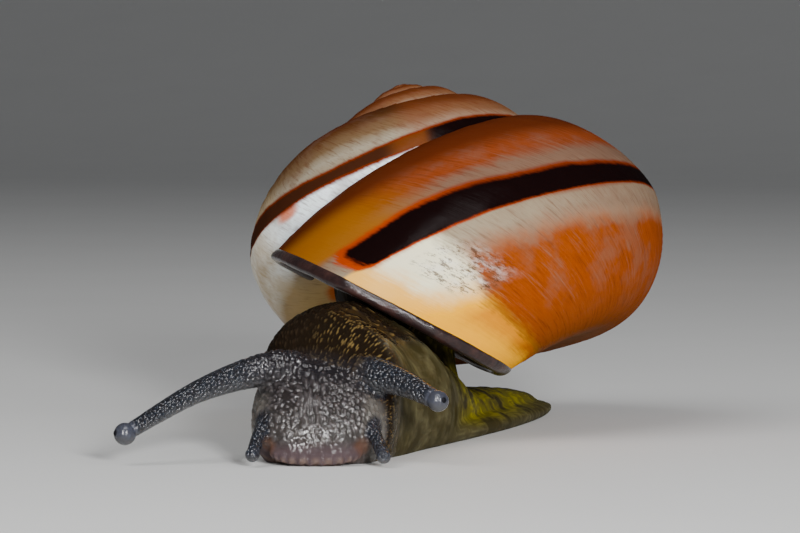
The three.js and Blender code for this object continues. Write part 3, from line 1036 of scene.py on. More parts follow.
@dataclass
class Shell:
    """The coiled shell and its dark lip.

    A row of the band holds a growth angle and the degrees round the section of its top and bottom edges.
    """

    form: WhorlForm = field(default_factory=WhorlForm)
    first_end: float = 0.36 * TURN
    mouth_end: float = -1.0
    rings_per_turn: tuple = (300, 200, 130, 80, 50)
    around: int = 108
    wall: float = 0.5
    recess: float = 2.75
    whorl_cut: float = 0.25
    earlier_aperture: tuple = (42.64 * DEGREE, -68.34 * DEGREE, 3.05)
    lip_width: float = 0.6
    lip_thickness: float = 0.66
    lip_flare: float = 0.08
    lip_arc: tuple = (128 * DEGREE, -192 * DEGREE)
    columella_radius: float = 1.3
    columella_turns: float = 3.0
    lip_end_power: int = 24
    lip_end_least: float = 0.02
    lip_waves: tuple = ((0.05, 5), (0.04, 13))
    lip_squareness: float = 0.8
    table_size: int = 145
    age_steps: int = 800
    age_from: float = -2.5
    age_to: float = 5.2 * TURN
    hollow_reach: tuple = (0.015, 0.04)
    ridge_waves: tuple = (1.7, 0.6, 0.0)
    ridge_height: float = 0.03
    fine_waves: tuple = (6.0, 1.2, 4.0)
    fine_height: float = 0.012
    smooth_age: tuple = (0.0, 0.6)
    crease_angle: float = 50 * DEGREE
    # Past growth 7 the rows widen the band upwards, partly the band and partly a painted shadow in the suture
    # groove.
    band: tuple = (
        (0.2, 24.0, 0.0), (0.4, 25.0, 0.0), (0.55, 28.0, 1.0), (0.7, 28.0, 1.5), (0.86, 26.0, 2.0),
        (1.0, 23.5, 1.0), (1.2, 23.0, 0.0), (1.45, 21.5, 0.5), (1.7, 21.5, 2.5), (2.2, 22.0, 3.0),
        (4.5, 22.0, 3.0), (5.7, 23.0, 1.0), (5.96, 20.5, -1.0), (6.36, 15.5, -2.0), (6.57, 17.0, -2.5),
        (6.8, 19.5, -1.5), (7.0, 22.0, 0.0), (7.3, 27.5, 0.0), (7.7, 28.0, 0.0), (9.0, 26.0, 4.0),
    )

    def stretch(self, start: float, end: float, rings: int, inset: float = 0.0) -> bmesh.types.BMesh:
        """A filled length of whorl.

        Args:
            start: The growth angle where it begins.
            end: The growth angle where it ends.
            rings: Steps along it.
            inset: How far its wall is moved in.

        Returns:
            The closed bmesh, in its place over the foot.
        """

        def place(t: Points, angle: Points) -> Points:
            """Points of the wall."""
            q = start + (end - start) * t
            return self.form.stand(self.form.point(q, angle - math.pi, inset))

        return swept(rings, self.around, place)

    def plane_cut(self, bm: bmesh.types.BMesh, depth: float, keep_inside: bool) -> bmesh.types.BMesh:
        """Cuts a closed bmesh on a plane behind the aperture and closes it again.

        Args:
            bm: The solid.
            depth: How far the plane lies behind the aperture.
            keep_inside: Whether the shell's side is kept.

        Returns:
            The same bmesh.
        """
        origin, normal = self.form.aperture()
        turn = self.form.to_row()
        row_normal = turn.to_3x3() @ Vector(normal)
        place = turn @ Vector(origin - depth * normal)
        bmesh.ops.bisect_plane(
            bm,
            geom=bm.verts[:] + bm.edges[:] + bm.faces[:],
            plane_co=place,
            plane_no=row_normal,
            clear_outer=keep_inside,
            clear_inner=not keep_inside,
        )
        close_holes(bm)
        return bm

    def build_whorls(self) -> bpy.types.Object:
        """Builds the coiled shell as one closed body with its growth attributes.

        Returns:
            The shell, without its lip.
        """
        rings = round(self.rings_per_turn[0] * (self.first_end - self.mouth_end) / TURN)
        first = self.plane_cut(self.stretch(self.mouth_end, self.first_end, rings), self.whorl_cut, True)
        piece = mesh_object("shell_coil", first)
        hollow = self.stretch(self.mouth_end, self.first_end, rings // 2, self.wall)
        combine(piece, mesh_object("hollow", self.plane_cut(hollow, self.recess, False)), Join.CUT)
        end = self.form.whorls * TURN
        q = self.first_end
        while q < end:
            reach = min(q + TURN / 2, end)
            rings = round(self.rings_per_turn[int(q / TURN)] * (reach - q) / TURN)
            combine(piece, mesh_object("whorl", self.stretch(q, reach, rings)), Join.ADD)
            q = reach
        combine(piece, mesh_object("columella", self.columella()), Join.ADD)
        self.mark_growth(piece)
        return piece

    def columella(self) -> bmesh.types.BMesh:
        """The pillar that closes the axis.

        Returns:
            The closed bmesh.
        """

        def place(t: Points, angle: Points) -> Points:
            """Points of the pillar's wall.

            Args:
                t: Shares of the length.
                angle: Angles round it.

            Returns:
                A row for each point.
            """
            q = t * self.columella_turns * TURN
            radius = self.columella_radius * self.form.scale(q)
            level = np.zeros_like(radius)
            round_it = np.stack([radius * np.cos(angle), radius * np.sin(angle), level], axis=-1)
            return self.form.stand(self.form.axis(q) + round_it)

        return swept(rings=40, around=32, place=place)

    def mark_growth(self, piece: bpy.types.Object) -> None:
        """Stores where each vertex lies in the shell's growth, and raises the growth ridges.

        Ages count back from the aperture as it stood shortly before the lip was made.

        Args:
            piece: The coiled shell, changed in place.
        """
        places, normals = vertex_arrays(piece)
        q, phi, off_wall = self.form.locate(places)
        table = np.linspace(-math.pi, math.pi, self.table_size)
        tilt, turn, setback = self.earlier_aperture
        earlier = replace(self.form, aperture_tilt=tilt, aperture_turn=turn, aperture_setback=setback)
        lip_q = earlier.growth_at_depth(table, 0.0)
        back = q - np.interp(phi, table, lip_q)
        steps = np.linspace(self.age_from, self.age_to, self.age_steps)
        speed = self.form.outer_radius() * self.form.scale(np.clip(steps, 0, None))
        length = np.concatenate([[0], np.cumsum((speed[1:] + speed[:-1]) / 2 * np.diff(steps))])
        age = np.interp(back, steps, length) - np.interp(0.0, steps, length)
        around = np.degrees(phi)
        growth, top, bottom = np.transpose(self.band)
        inside = np.minimum(np.interp(q, growth, top) - around, around - np.interp(q, growth, bottom))
        set_attribute(piece, "around", around)
        set_attribute(piece, "band", inside)
        set_attribute(piece, "age", age)
        set_attribute(piece, "growth", q)
        # Marks the inner walls, which the finish darkens, partly as painted shade of the recess.
        set_attribute(piece, "hollow", smooth_step(*self.hollow_reach, off_wall))
        ridges = self.ridge_height * self.growth_ridges(age, phi, self.ridge_waves)
        lift = ridges + self.fine_height * self.growth_ridges(age, phi, self.fine_waves)
        store_places(piece, places + normals * (lift * smooth_step(*self.smooth_age, age))[:, None])

    @staticmethod
    def growth_ridges(age: Points, phi: Points, waves: tuple) -> Points:
        """Uneven ridges along the growth lines, from how close they lie by age and angle and a place."""
        close, slow, place = waves
        return np.array([noise.noise((a * close, p * slow, place)) for a, p in zip(age, phi)])

    def build_lip(self) -> bpy.types.Object:
        """Builds the lip as a bead round the aperture.

        Returns:
            The lip.
        """

        def place(t: Points, angle: Points) -> Points:
            """Points of the bead's skin, rounded off at both ends.

            Args:
                t: Shares of the arc.
                angle: Angles round the bead.

            Returns:
                A row for each point.
            """
            phi = self.lip_arc[0] + (self.lip_arc[1] - self.lip_arc[0]) * t
            ends = np.abs(2 * t - 1) ** self.lip_end_power
            waves = sum(height * np.sin(phi * count) for height, count in self.lip_waves)
            swell = np.sqrt(np.clip(1 - ends, self.lip_end_least, 1)) * (1 + waves)
            out, across = (signed_power(wave(angle), self.lip_squareness) for wave in (np.cos, np.sin))
            depth = self.lip_width * (0.5 + 0.5 * swell * out)
            half = swell * self.lip_thickness / 2
            inset = half - self.lip_flare + half * across
            return self.form.stand(self.form.point(self.form.growth_at_depth(phi, depth, inset), phi, inset))

        return mesh_object("shell_rim", swept(rings=240, around=28, place=place))

    def build(self) -> None:
        """Builds and dresses the shell and its lip."""
        coil = self.build_whorls()
        coil.data.materials.clear()
        coil.data.materials.append(ShellFinish().material())
        finish_piece(coil, ["shell"])
        coil.data.set_sharp_from_angle(angle=self.crease_angle)
        lip = self.build_lip()
        lip.data.materials.append(LipFinish().material())
        finish_piece(lip, ["shell_lip"])


# ---------------------------------------------------------------- flesh


@dataclass(frozen=True)
class Tentacle:
    """One tentacle: its path from inside the head to its tip, and a radius for each point."""

    path: tuple
    radii: tuple
    bulb: float
    eye_node: str = ""
    pupil: tuple = (0.0, 0.0, 0.0)

    def axis(self, t: Points) -> Points:
        """Points of the midline at shares of its length."""
        return curve_points(self.path, t)

    def radius(self, t: Points) -> Points:
        """The radius at shares of the length."""
        rows = [[i, r, 0.0] for i, r in enumerate(self.radii)]
        return curve_points(rows, t)[:, 1]

    def solid(self) -> list[bmesh.types.BMesh]:
        """The shaft and the rounded tip.

        Returns:
            Two closed bmeshes.
        """

        def place(t: Points, angle: Points) -> Points:
            """Points of the shaft's skin.

            Args:
                t: Shares of the length.
                angle: Angles round it.

            Returns:
                A row for each point.
            """
            at, ahead = self.axis(t), self.axis(np.minimum(t + 0.01, 1)) - self.axis(np.maximum(t - 0.01, 0))
            ahead /= np.linalg.norm(ahead, axis=1)[:, None]
            side = np.cross(ahead, [0.0, 0.0, 1.0])
            side /= np.linalg.norm(side, axis=1)[:, None]
            top = np.cross(side, ahead)
            radius = self.radius(t)[:, None]
            return at + radius * (side * np.cos(angle)[:, None] + top * np.sin(angle)[:, None])

        return [swept(rings=60, around=32, place=place), ball(self.path[-1], (self.bulb,) * 3)]


TENTACLES = {
    "upper_right": Tentacle(
        ((0.3, -11.9, 3.1), (-0.85, -12.95, 3.75), (-3.3, -14.95, 2.95), (-5.77, -17.05, 1.26)),
        (0.85, 0.68, 0.45, 0.32), 0.45, "eye_right", (-0.637, -0.759, 0.122),
    ),
    "upper_left": Tentacle(
        ((1.1, -11.3, 3.0), (2.3, -11.8, 3.5), (4.2, -12.5, 3.25), (6.02, -13.23, 2.6)),
        (0.9, 0.78, 0.55, 0.36), 0.43, "eye_left", (0.82, -0.55, 0.15),
    ),
    "lower_right": Tentacle(
        ((0.0, -13.0, 2.0), (-0.7, -14.3, 1.75), (-0.8, -15.2, 1.2), (-0.72, -16.1, 0.5)),
        (0.45, 0.38, 0.3, 0.27), 0.29,
    ),
    "lower_left": Tentacle(
        ((2.0, -12.2, 1.8), (3.0, -13.0, 1.55), (3.65, -13.8, 1.05), (4.2, -14.5, 0.45)),
        (0.45, 0.38, 0.3, 0.27), 0.29,
    ),
}


class Zone(Enum):
    """A number from 0 to 1 stored on the skin, which says how much a point belongs to a zone."""

    STUD = "stud"
    NECK = "neck"
    FLANK = "flank"
    FEELER = "feeler"
    BULB = "bulb"
    LIPS = "lips"
    RIM = "rim"
    UNDER = "under"
    CORNER = "corner"
    GOLDEN = "golden"
    EDGE = "edge"
    MANTLE = "mantle"
    REAR = "rear"
    FRONT = "front"
    BROW = "brow"


@dataclass(frozen=True)
class SkinFinish:
    """Wet skin: dark and beaded on the head, golden rows on the neck, olive foot, blue-grey tentacles.

    Each pair or row of four numbers says where a marking fades: the values at which it starts and is full
    and, in a row of four, how strong it is at each.
    """

    dark: Colour = rgb(0.016, 0.013, 0.013)
    stud: Colour = rgb(0.042, 0.036, 0.036)
    night: Colour = rgb(0.009, 0.008, 0.01)
    neck_dark: Colour = rgb(0.011, 0.007, 0.004)
    gold: Colour = rgb(0.17, 0.112, 0.036)
    brown: Colour = rgb(0.028, 0.018, 0.01)
    olive: Colour = rgb(0.085, 0.074, 0.034)
    olive_dark: Colour = rgb(0.03, 0.024, 0.009)
    tail: Colour = rgb(0.17, 0.145, 0.004)
    grey: Colour = rgb(0.014, 0.016, 0.022)
    # Paler undersides of tentacles and bulbs: painted light glowing through the thin skin.
    pale: Colour = rgb(0.055, 0.055, 0.058)
    # Paler sides and chin of the head: painted light glowing through the thin skin.
    side: Colour = rgb(0.095, 0.086, 0.075)
    clear: Colour = rgb(0.038, 0.04, 0.053)
    flesh: Colour = rgb(0.06, 0.041, 0.044)
    rim: Colour = rgb(0.12, 0.082, 0.068)
    amber: Colour = rgb(0.1, 0.04, 0.015)

    gilt_cloud: tuple = (0.3, 0.6, 0.35, 1.0)
    stud_tips: tuple = (0.12, 0.75)
    neck_tips: float = 0.32
    brow_share: float = 0.75
    olive_cloud: tuple = (0.35, 0.7)
    tail_cloud: tuple = (0.35, 0.55)
    wrinkles: tuple = (0.1, 0.8, 0.45, 1.0)
    edge_share: float = 0.8
    shaft_specks: tuple = (0.42, 0.62, 0.0, 0.5)
    lips_share: float = 0.85

    bead_scale: float = 6600.0
    bead_height: float = -3.0
    head_beads: float = 0.12
    grit: float = 0.4
    head_calm: float = 0.8
    relief_height: float = 0.00004
    wet: float = 0.7
    plain_less_wet: float = -0.6

    def material(self) -> bpy.types.Material:
        """Builds the skin's material from its stored zones.

        Returns:
            The material.
        """
        r = Recipe("wet_skin")
        zones = {zone: r.attribute(zone.value) for zone in Zone}
        speckle = r.noise(r.place(), scale=5200.0, detail=3.0, rough=0.6)
        cloud = r.noise(r.place(), scale=900.0, detail=3.0, rough=0.5)
        grain = self.grain(r, zones, speckle)
        plain = r.most(zones[Zone.LIPS], zones[Zone.NECK])
        plain = r.most(r.most(zones[Zone.FLANK], zones[Zone.MANTLE]), plain)
        return r.surface(
            Base_Color=self.ends(r, zones, speckle, self.green(r, zones, cloud, self.head(r, zones, cloud))),
            Roughness=0.4,
            Normal=grain,
            Coat_Normal=grain,
            Specular_IOR_Level=0.0,
            Subsurface_Weight=0.25,
            Subsurface_Radius=(1.0, 0.7, 0.5),
            Subsurface_Scale=0.0003,
            Coat_Weight=r.math("MULTIPLY_ADD", plain, self.plain_less_wet, self.wet),
            Coat_Roughness=0.025,
        )

    def head(self, r: Recipe, zones: dict[Zone, Socket], cloud: Socket) -> Socket:
        """Dark skin with paler beads on the head and golden ones on the neck, darkest on the brow.

        Args:
            r: Builds the nodes.
            zones: The skin's zones.
            cloud: Soft noise.

        Returns:
            The colour of the head and neck.
        """
        neck = zones[Zone.NECK]
        gilt = r.times(zones[Zone.GOLDEN], r.span(cloud, *self.gilt_cloud))
        top = r.mix(neck, self.stud, r.mix(gilt, self.brown, self.gold))
        tips = r.math("SUBTRACT", zones[Zone.STUD], r.times(neck, self.neck_tips))
        colour = r.mix(r.span(tips, *self.stud_tips), r.mix(neck, self.dark, self.neck_dark), top)
        return r.mix(r.times(zones[Zone.BROW], self.brow_share), colour, self.night)

    def green(self, r: Recipe, zones: dict[Zone, Socket], cloud: Socket, colour: Socket) -> Socket:
        """Lays the olive of the foot and the mantle, yellower on the tail, over the head's colour.

        Args:
            r: Builds the nodes.
            zones: The skin's zones.
            cloud: Soft noise.
            colour: The colour so far.

        Returns:
            The colour with the olive.
        """
        green = r.mix(r.span(cloud, *self.olive_cloud), self.olive_dark, self.olive)
        green = r.mix(r.times(zones[Zone.REAR], r.span(cloud, *self.tail_cloud)), green, self.tail)
        green = r.mix(r.span(zones[Zone.STUD], *self.wrinkles), self.olive_dark, green)
        return r.mix(r.most(zones[Zone.FLANK], zones[Zone.MANTLE]), colour, green)

    def ends(self, r: Recipe, zones: dict[Zone, Socket], speckle: Socket, colour: Socket) -> Socket:
        """Lays the head's pale sides, the tentacles, the lips and the clear eye bulbs over the rest; the pale
        sides and the paler undersides are painted light glowing through the thin skin.

        Args:
            r: Builds the nodes.
            zones: The skin's zones.
            speckle: Fine noise.
            colour: The colour so far.

        Returns:
            The whole colour.
        """
        # The pale sides are painted light glowing through the thin skin.
        colour = r.mix(r.times(zones[Zone.EDGE], self.edge_share), colour, self.side)
        shaft = r.mix(r.span(speckle, *self.shaft_specks), self.grey, self.dark)
        # The shafts' undersides are paler as painted light glowing through the thin skin.
        colour = r.mix(zones[Zone.FEELER], colour, r.mix(zones[Zone.UNDER], shaft, self.pale))
        lips = r.mix(zones[Zone.RIM], self.flesh, self.rim)
        colour = r.mix(r.times(zones[Zone.LIPS], self.lips_share), colour, lips)
        colour = r.mix(zones[Zone.CORNER], colour, self.amber)
        # The bulbs' undersides are paler as painted light glowing through the thin skin.
        return r.mix(zones[Zone.BULB], colour, r.mix(zones[Zone.UNDER], self.clear, self.pale))

    def grain(self, r: Recipe, zones: dict[Zone, Socket], speckle: Socket) -> Socket:
        """The fine relief: round beads on the tentacles, and grit that is calmer on the head.

        Args:
            r: Builds the nodes.
            zones: The skin's zones.
            speckle: Fine noise.

        Returns:
            The bumped normal.
        """
        at = {"Vector": r.place(), "Scale": self.bead_scale}
        beads = r.node("ShaderNodeTexVoronoi", at).outputs["Distance"]
        shafts = r.math("SUBTRACT", zones[Zone.FEELER], zones[Zone.BULB])
        beads = r.times(r.times(beads, beads), r.most(shafts, r.times(zones[Zone.FRONT], self.head_beads)))
        calm = r.most(zones[Zone.BULB], r.times(zones[Zone.FRONT], self.head_calm))
        grit = r.times(speckle, r.math("MULTIPLY_ADD", calm, -self.grit, self.grit))
        return r.bump(r.math("MULTIPLY_ADD", beads, self.bead_height, grit), self.relief_height, 1.0)


@dataclass(frozen=True)
class ZoneLimits:
    """Where the skin's zones fade: each pair gives the values with none and with all of a zone.

    Places are in millimetres, with across counted from the midline to the animal's left. Radii are shares
    of a tentacle's own radius.
    """

    shaft_from: float = 0.3
    shaft_along: tuple = (0.28, 0.5)
    shaft_radii: tuple = (1.7, 1.15)
    tip_radii: tuple = (1.3, 1.1)
    bulb_radii: tuple = (1.5, 1.1)
    round_radii: tuple = (1.22, 1.02)
    lower_bulb: float = 0.25
    mantle_depth: tuple = (-0.5, 0.1)
    mantle_x: tuple = (0.6, 1.8)
    mantle_y: tuple = (-9.5, -8.5)
    mantle_z: tuple = (2.6, 3.0)
    front_y: tuple = (-9.5, -11.5)
    neck_y: tuple = (-13.1, -11.6)
    least_height: float = 0.3
    flank_rise: tuple = (0.66, 0.4)
    tail_y: tuple = (-1.5, 0.5)
    left_side: tuple = (1.8, 2.5)
    left_side_y: tuple = (-10.4, -9.0)
    lips_y: tuple = (-13.0, -14.0)
    lips_z: tuple = (1.15, 0.5)
    rim_z: tuple = (0.45, 0.2)
    corner_reach: tuple = (0.62, 0.25)
    corner_share: float = 0.5
    edge_across: tuple = (1.6, 2.3)
    edge_y: tuple = (-11.8, -12.8)
    edge_z: tuple = (3.3, 2.2)
    chin_y: tuple = (-12.5, -13.5)
    chin_z: tuple = (3.0, 1.4)
    chin_share: float = 0.2
    under_normal: tuple = (0.1, -0.75)
    golden_across: tuple = (-1.0, 0.5)
    rear_y: tuple = (-3.0, 1.0)
    rear_z: tuple = (0.3, 0.9)
    brow_z: tuple = (2.9, 3.7)
    ridged_middle: float = -0.15
    ridged_across: tuple = (0.65, 0.25)
    ridged_y: tuple = (-12.6, -13.2)
    ridged_low: tuple = (1.5, 2.0)
    ridged_high: tuple = (3.9, 3.3)
    sole_z: tuple = (0.25, 0.1)
    floor_z: tuple = (0.0, 0.3)
    low_z: tuple = (1.9, 1.2)
    scallop_z: tuple = (0.6, 0.3)


@dataclass(frozen=True)
class StudForms:
    """The forms of the skin's relief.

    A row of three numbers says how many times closer the domes lie along each axis than the size says.
    Each calm is the share of the relief that a zone loses.
    """

    stud: tuple = (1.35, 1.35, 1.15)
    ridge: tuple = (1.3, 0.6, 0.3)
    ridge_height: float = 1.5
    wave_height: float = 0.12
    wave_z: float = 2.4
    wave_across: float = 1.5
    row: tuple = (2.9, 0.75, 1.0)
    row_centre: float = 1.5
    row_radius: float = 3.0
    row_shrink: float = 0.8
    row_slant: float = 0.25
    wrinkle: tuple = (0.4, 1.0, 0.3)
    wrinkle_size: float = 1.2
    dome_reach: float = 0.64
    mean_height: float = 0.45
    scallop_height: float = 0.025
    feeler_calm: float = 0.9
    lips_calm: float = 0.93
    flank_calm: float = 0.45
    neck_calm: float = 0.25
    low_calm: float = 0.4


@dataclass
class SoftBody:
    """The whole soft body under one skin, in millimetres."""

    shell: Shell
    limits: ZoneLimits = ZoneLimits()
    forms: StudForms = StudForms()
    back: tuple = (
        (16.8, 0.2, 0.25), (15.6, 0.7, 0.7), (13.8, 1.15, 1.05), (10.5, 1.7, 1.4), (6.0, 2.1, 1.75),
        (2.5, 2.4, 2.3), (-1.0, 2.8, 4.1), (-4.0, 3.4, 5.75), (-6.5, 3.35, 6.1), (-9.0, 3.25, 5.8),
        (-11.0, 2.9, 4.9), (-12.7, 2.75, 3.95), (-13.8, 2.5, 2.95), (-14.5, 2.0, 2.1), (-14.9, 1.2, 1.5),
    )
    sole: tuple = (
        (17.0, 0.3, 0.3), (15.6, 1.4, 0.5), (11.0, 2.5, 0.8), (5.0, 3.1, 1.0), (-2.0, 3.2, 1.1),
        (-8.0, 3.0, 1.1), (-12.0, 2.5, 0.9), (-13.4, 1.9, 0.6),
    )
    back_centre: float = 0.4
    sole_centre: float = 0.3
    bend_start: float = -4.0
    bend_length: float = 11.0
    bend: float = 1.45
    bend_power: float = 2.5
    chin_lift: float = 0.8
    chin_reach: tuple = (-12.9, -14.9)
    head_turn: float = 20 * DEGREE
    roundness: tuple = (0.9, 0.75)
    square_reach: tuple = ((-12.5, -9.5), (-3.0, 0.0))
    neck_lean: float = 0.075
    lean_side: float = -0.5
    lean_reach: tuple = ((-11.0, -7.5), (-3.0, 1.0))
    stalk_foot: tuple = (0.3, -0.6, 0.8)
    stalk_top: tuple = (-1.3, 0.3, 8.0)
    stalk_half: tuple = (2.15, 3.4)
    mouth_centre: tuple = (1.3, -14.35, 0.5)
    mouth_half: tuple = (1.75, 0.68, 0.9)
    mouth_rise: float = 0.22
    lobes: int = 12
    lobe_half: tuple = (0.19, 0.17, 0.26)
    lobe_arc: float = 78 * DEGREE
    lobe_height: float = 0.24
    lobe_lift: float = 0.3
    collar_wall: float = 0.46
    collar_depths: tuple = (0.25, 2.6)
    voxel: float = 0.1
    settle_rounds: int = 5
    rear_from: float = -8.5
    rear_share: float = 0.42
    fine_to: float = -9.0
    fine_smooth_to: float = -9.2
    fine_rounds: int = 2
    crease_to: float = -13.3
    crease_z: tuple = (0.75, 1.7)
    crease_rounds: int = 14
    stud_size: float = 0.25
    stud_height: float = 0.075
    corners: tuple = ((-0.55, -15.0, 0.75), (3.0, -13.75, 0.75))

    def midline(self, y: Points) -> tuple[Points, Points]:
        """The sideways place of the midline and its turn at y.

        Args:
            y: Places along the body.

        Returns:
            Sideways places, and turns in radians.
        """
        forward = np.clip((self.bend_start - y) / self.bend_length, 0, None)
        turn = np.arctan(self.bend * self.bend_power * forward ** (self.bend_power - 1) / self.bend_length)
        return self.bend * forward**self.bend_power, turn

    @staticmethod
    def neck_share(y: Points, reach: tuple) -> Points:
        """How much of the neck's form a section at y has."""
        comes, goes = reach
        return smooth_step(comes[0], comes[1], y) * (1 - smooth_step(goes[0], goes[1], y))

    def loft(self, profile: tuple, centre: float, chin: float, neck: float = 0.0) -> bmesh.types.BMesh:
        """A long solid on the midline with rounded sections.

        Args:
            profile: Rows of y, half width and height.
            centre: The height of the section's middle as a share of its height.
            chin: How far the front end is raised off the floor.
            neck: 1 if the sections turn squarer and lean at the neck.

        Returns:
            The closed bmesh.
        """

        def place(t: Points, angle: Points) -> Points:
            """Points of the skin.

            Args:
                t: Shares of the length.
                angle: Angles round it.

            Returns:
                A row for each point.
            """
            rows = curve_points(profile, t)
            y, width, height = rows[:, 0], rows[:, 1], rows[:, 2]
            middle, turn = self.midline(y)
            square = neck * self.neck_share(y, self.square_reach)
            power = self.roundness[0] + (self.roundness[1] - self.roundness[0]) * square
            lean = neck * self.neck_lean * self.neck_share(y, self.lean_reach)
            across = width * signed_power(np.sin(angle), power)
            lift = chin * smooth_step(-self.chin_reach[0], -self.chin_reach[1], -y)
            up = lift + (height - lift) * (centre + (1 - centre) * signed_power(np.cos(angle), power))
            up = up * (1 - lean * np.clip(across - self.lean_side, 0, None))
            return np.stack([middle + across * np.cos(turn), y + across * np.sin(turn), up], axis=-1)

        return swept(rings=220, around=64, place=place)

    def stalk(self) -> bmesh.types.BMesh:
        """The part of the torso that rises into the shell.

        Returns:
            The closed bmesh.
        """

        def place(t: Points, angle: Points) -> Points:
            """Points of the stalk's skin.

            Args:
                t: Shares of the length.
                angle: Angles round it.

            Returns:
                A row for each point.
            """
            foot, top = np.array(self.stalk_foot), np.array(self.stalk_top)
            at = foot + (top - foot) * t[:, None]
            at[:, 0] += self.stalk_half[0] * np.sin(angle)
            at[:, 1] += self.stalk_half[1] * np.cos(angle)
            return at

        return swept(rings=40, around=64, place=place)

    def collar(self) -> bmesh.types.BMesh:
        """The mantle collar that closes the aperture.

        Returns:
            The closed bmesh.
        """
        shell = self.shell
        solid = shell.stretch(shell.mouth_end, shell.first_end, rings=120, inset=self.collar_wall)
        front, back = self.collar_depths
        return shell.plane_cut(shell.plane_cut(solid, front, True), back, False)

    def mouth(self) -> list[bmesh.types.BMesh]:
        """The lips: a low mound with a row of lobes round its front.

        Returns:
            The closed bmeshes.
        """
        middle = (self.mouth_centre[0], self.mouth_centre[1], self.mouth_centre[2] + self.mouth_rise)
        parts = [ball(middle, self.mouth_half, self.head_turn)]
        turn = Matrix.Rotation(self.head_turn, 3, "Z")
        for i in range(self.lobes):
            share = 2 * i / (self.lobes - 1) - 1
            around = self.lobe_arc * share
            out = Vector((self.mouth_half[0] * math.sin(around), -self.mouth_half[1] * math.cos(around), 0))
            centre = Vector(self.mouth_centre) + turn @ out
            centre.z = self.lobe_height + self.lobe_lift * share**2
            parts.append(ball(centre, self.lobe_half, self.head_turn + around, steps=16))
        return parts

    def merged(self) -> bpy.types.Object:
        """All the parts fused under one even skin, with the sole flat on the floor.

        Returns:
            The soft body, still smooth.
        """
        parts = [self.loft(self.back, self.back_centre, self.chin_lift, 1.0)]
        parts.append(self.loft(self.sole, self.sole_centre, 0.0))
        parts += [self.stalk(), self.collar(), *self.mouth()]
        for tentacle in TENTACLES.values():
            parts += tentacle.solid()
        piece = join_meshes("soft_body", parts)
        remesh = piece.modifiers.new("fuse", "REMESH")
        remesh.mode = "VOXEL"
        remesh.voxel_size = self.voxel
        smooth = piece.modifiers.new("settle", "SMOOTH")
        smooth.factor = 0.5
        smooth.iterations = self.settle_rounds
        apply_modifiers(piece)
        self.thin_rear(piece)
        return piece

    def thin_rear(self, piece: bpy.types.Object) -> None:
        """Merges small faces behind the neck, where the skin is plain or hidden.

        Args:
            piece: The soft body, changed in place.
        """
        group = piece.vertex_groups.new(name="rear")
        places = vertex_arrays(piece)[0]
        group.add(np.flatnonzero(places[:, 1] > self.rear_from).tolist(), 1.0, "REPLACE")
        thin = piece.modifiers.new("thin", "DECIMATE")
        thin.ratio = self.rear_share
        thin.vertex_group = group.name
        apply_modifiers(piece)
        piece.vertex_groups.clear()

    def refine(self, piece: bpy.types.Object) -> None:
        """Halves the faces of the head, neck and tentacles and flattens the sole.

        Args:
            piece: The soft body, changed in place.
        """
        bm = bmesh.new()
        bm.from_mesh(piece.data)
        edges = {e for f in bm.faces if f.calc_center_median().y < self.fine_to for e in f.edges}
        bmesh.ops.subdivide_edges(bm, edges=list(edges), cuts=1, use_grid_fill=True)
        low, high = self.crease_z
        fine = [v for v in bm.verts if v.co.y < self.fine_smooth_to]
        crease = [v for v in bm.verts if v.co.y < self.crease_to and low < v.co.z < high]
        every_way = {"use_axis_x": True, "use_axis_y": True, "use_axis_z": True}
        for verts in [fine] * self.fine_rounds + [crease] * self.crease_rounds:
            bmesh.ops.smooth_vert(bm, verts=verts, factor=0.5, **every_way)
        bmesh.ops.triangulate(bm, faces=[f for f in bm.faces if len(f.verts) > 4])
        whole = bm.verts[:] + bm.edges[:] + bm.faces[:]
        bmesh.ops.bisect_plane(bm, geom=whole, plane_co=(0, 0, 0), plane_no=(0, 0, -1), clear_outer=True)
        close_holes(bm)
        bm.to_mesh(piece.data)
        bm.free()

    def near_tentacles(self, places: Points) -> tuple[Points, Points]:
        """How much each point belongs to a tentacle's shaft and to an eye bulb.

        Args:
            places: A row for each point.

        Returns:
            Two shares for each point.
        """
        limits = self.limits
        feeler = np.zeros(len(places))
        bulb = np.zeros(len(places))
        for tentacle in TENTACLES.values():
            t = np.linspace(limits.shaft_from, 1, 60)
            axis, radius = tentacle.axis(t), tentacle.radius(t)
            gaps = np.linalg.norm(places[:, None, :] - axis[None, :, :], axis=2) / radius
            along = smooth_step(*limits.shaft_along, t[gaps.argmin(1)])
            feeler = np.maximum(feeler, smooth_step(*limits.shaft_radii, gaps.min(1)) * along)
            tip = np.linalg.norm(places - np.array(tentacle.path[-1]), axis=1) / tentacle.bulb
            clear = 1.0 if tentacle.eye_node else limits.lower_bulb
            bulb = np.maximum(bulb, smooth_step(*limits.bulb_radii, tip) * clear)
            feeler = np.maximum(feeler, smooth_step(*limits.tip_radii, tip))
        return feeler, bulb

    def mantle(self, places: Points) -> Points:
        """How much each point lies in the aperture, where the mantle's collar shows.

        Args:
            places: A row for each point.

        Returns:
            A share for each point.
        """
        form, limits = self.shell.form, self.limits
        matrix = np.array(form.to_row().inverted())
        own = places @ matrix[:3, :3].T + matrix[:3, 3]
        origin, normal = form.aperture()
        depth = (origin - own) @ normal
        seen = smooth_step(*limits.mantle_y, places[:, 1]) * smooth_step(*limits.mantle_z, places[:, 2])
        return smooth_step(*limits.mantle_depth, depth) * seen * smooth_step(*limits.mantle_x, places[:, 0])

    def scallops(self, places: Points) -> tuple[Points, Points]:
        """The waves of the lobes round the mouth, from -1 to 1, and how much a point lies on their rim.

        Args:
            places: A row for each point.

        Returns:
            A wave and a share for each point.
        """
        turn = np.array(Matrix.Rotation(self.head_turn, 3, "Z"))
        off = (places - np.array(self.mouth_centre)) @ turn
        around = np.arctan2(off[:, 0] / self.mouth_half[0], -off[:, 1] / self.mouth_half[1])
        wave = np.cos(around / self.lobe_arc * (self.lobes - 1) * math.pi)
        return wave, smooth_step(*self.limits.rim_z, places[:, 2]) * (0.5 + 0.5 * wave)

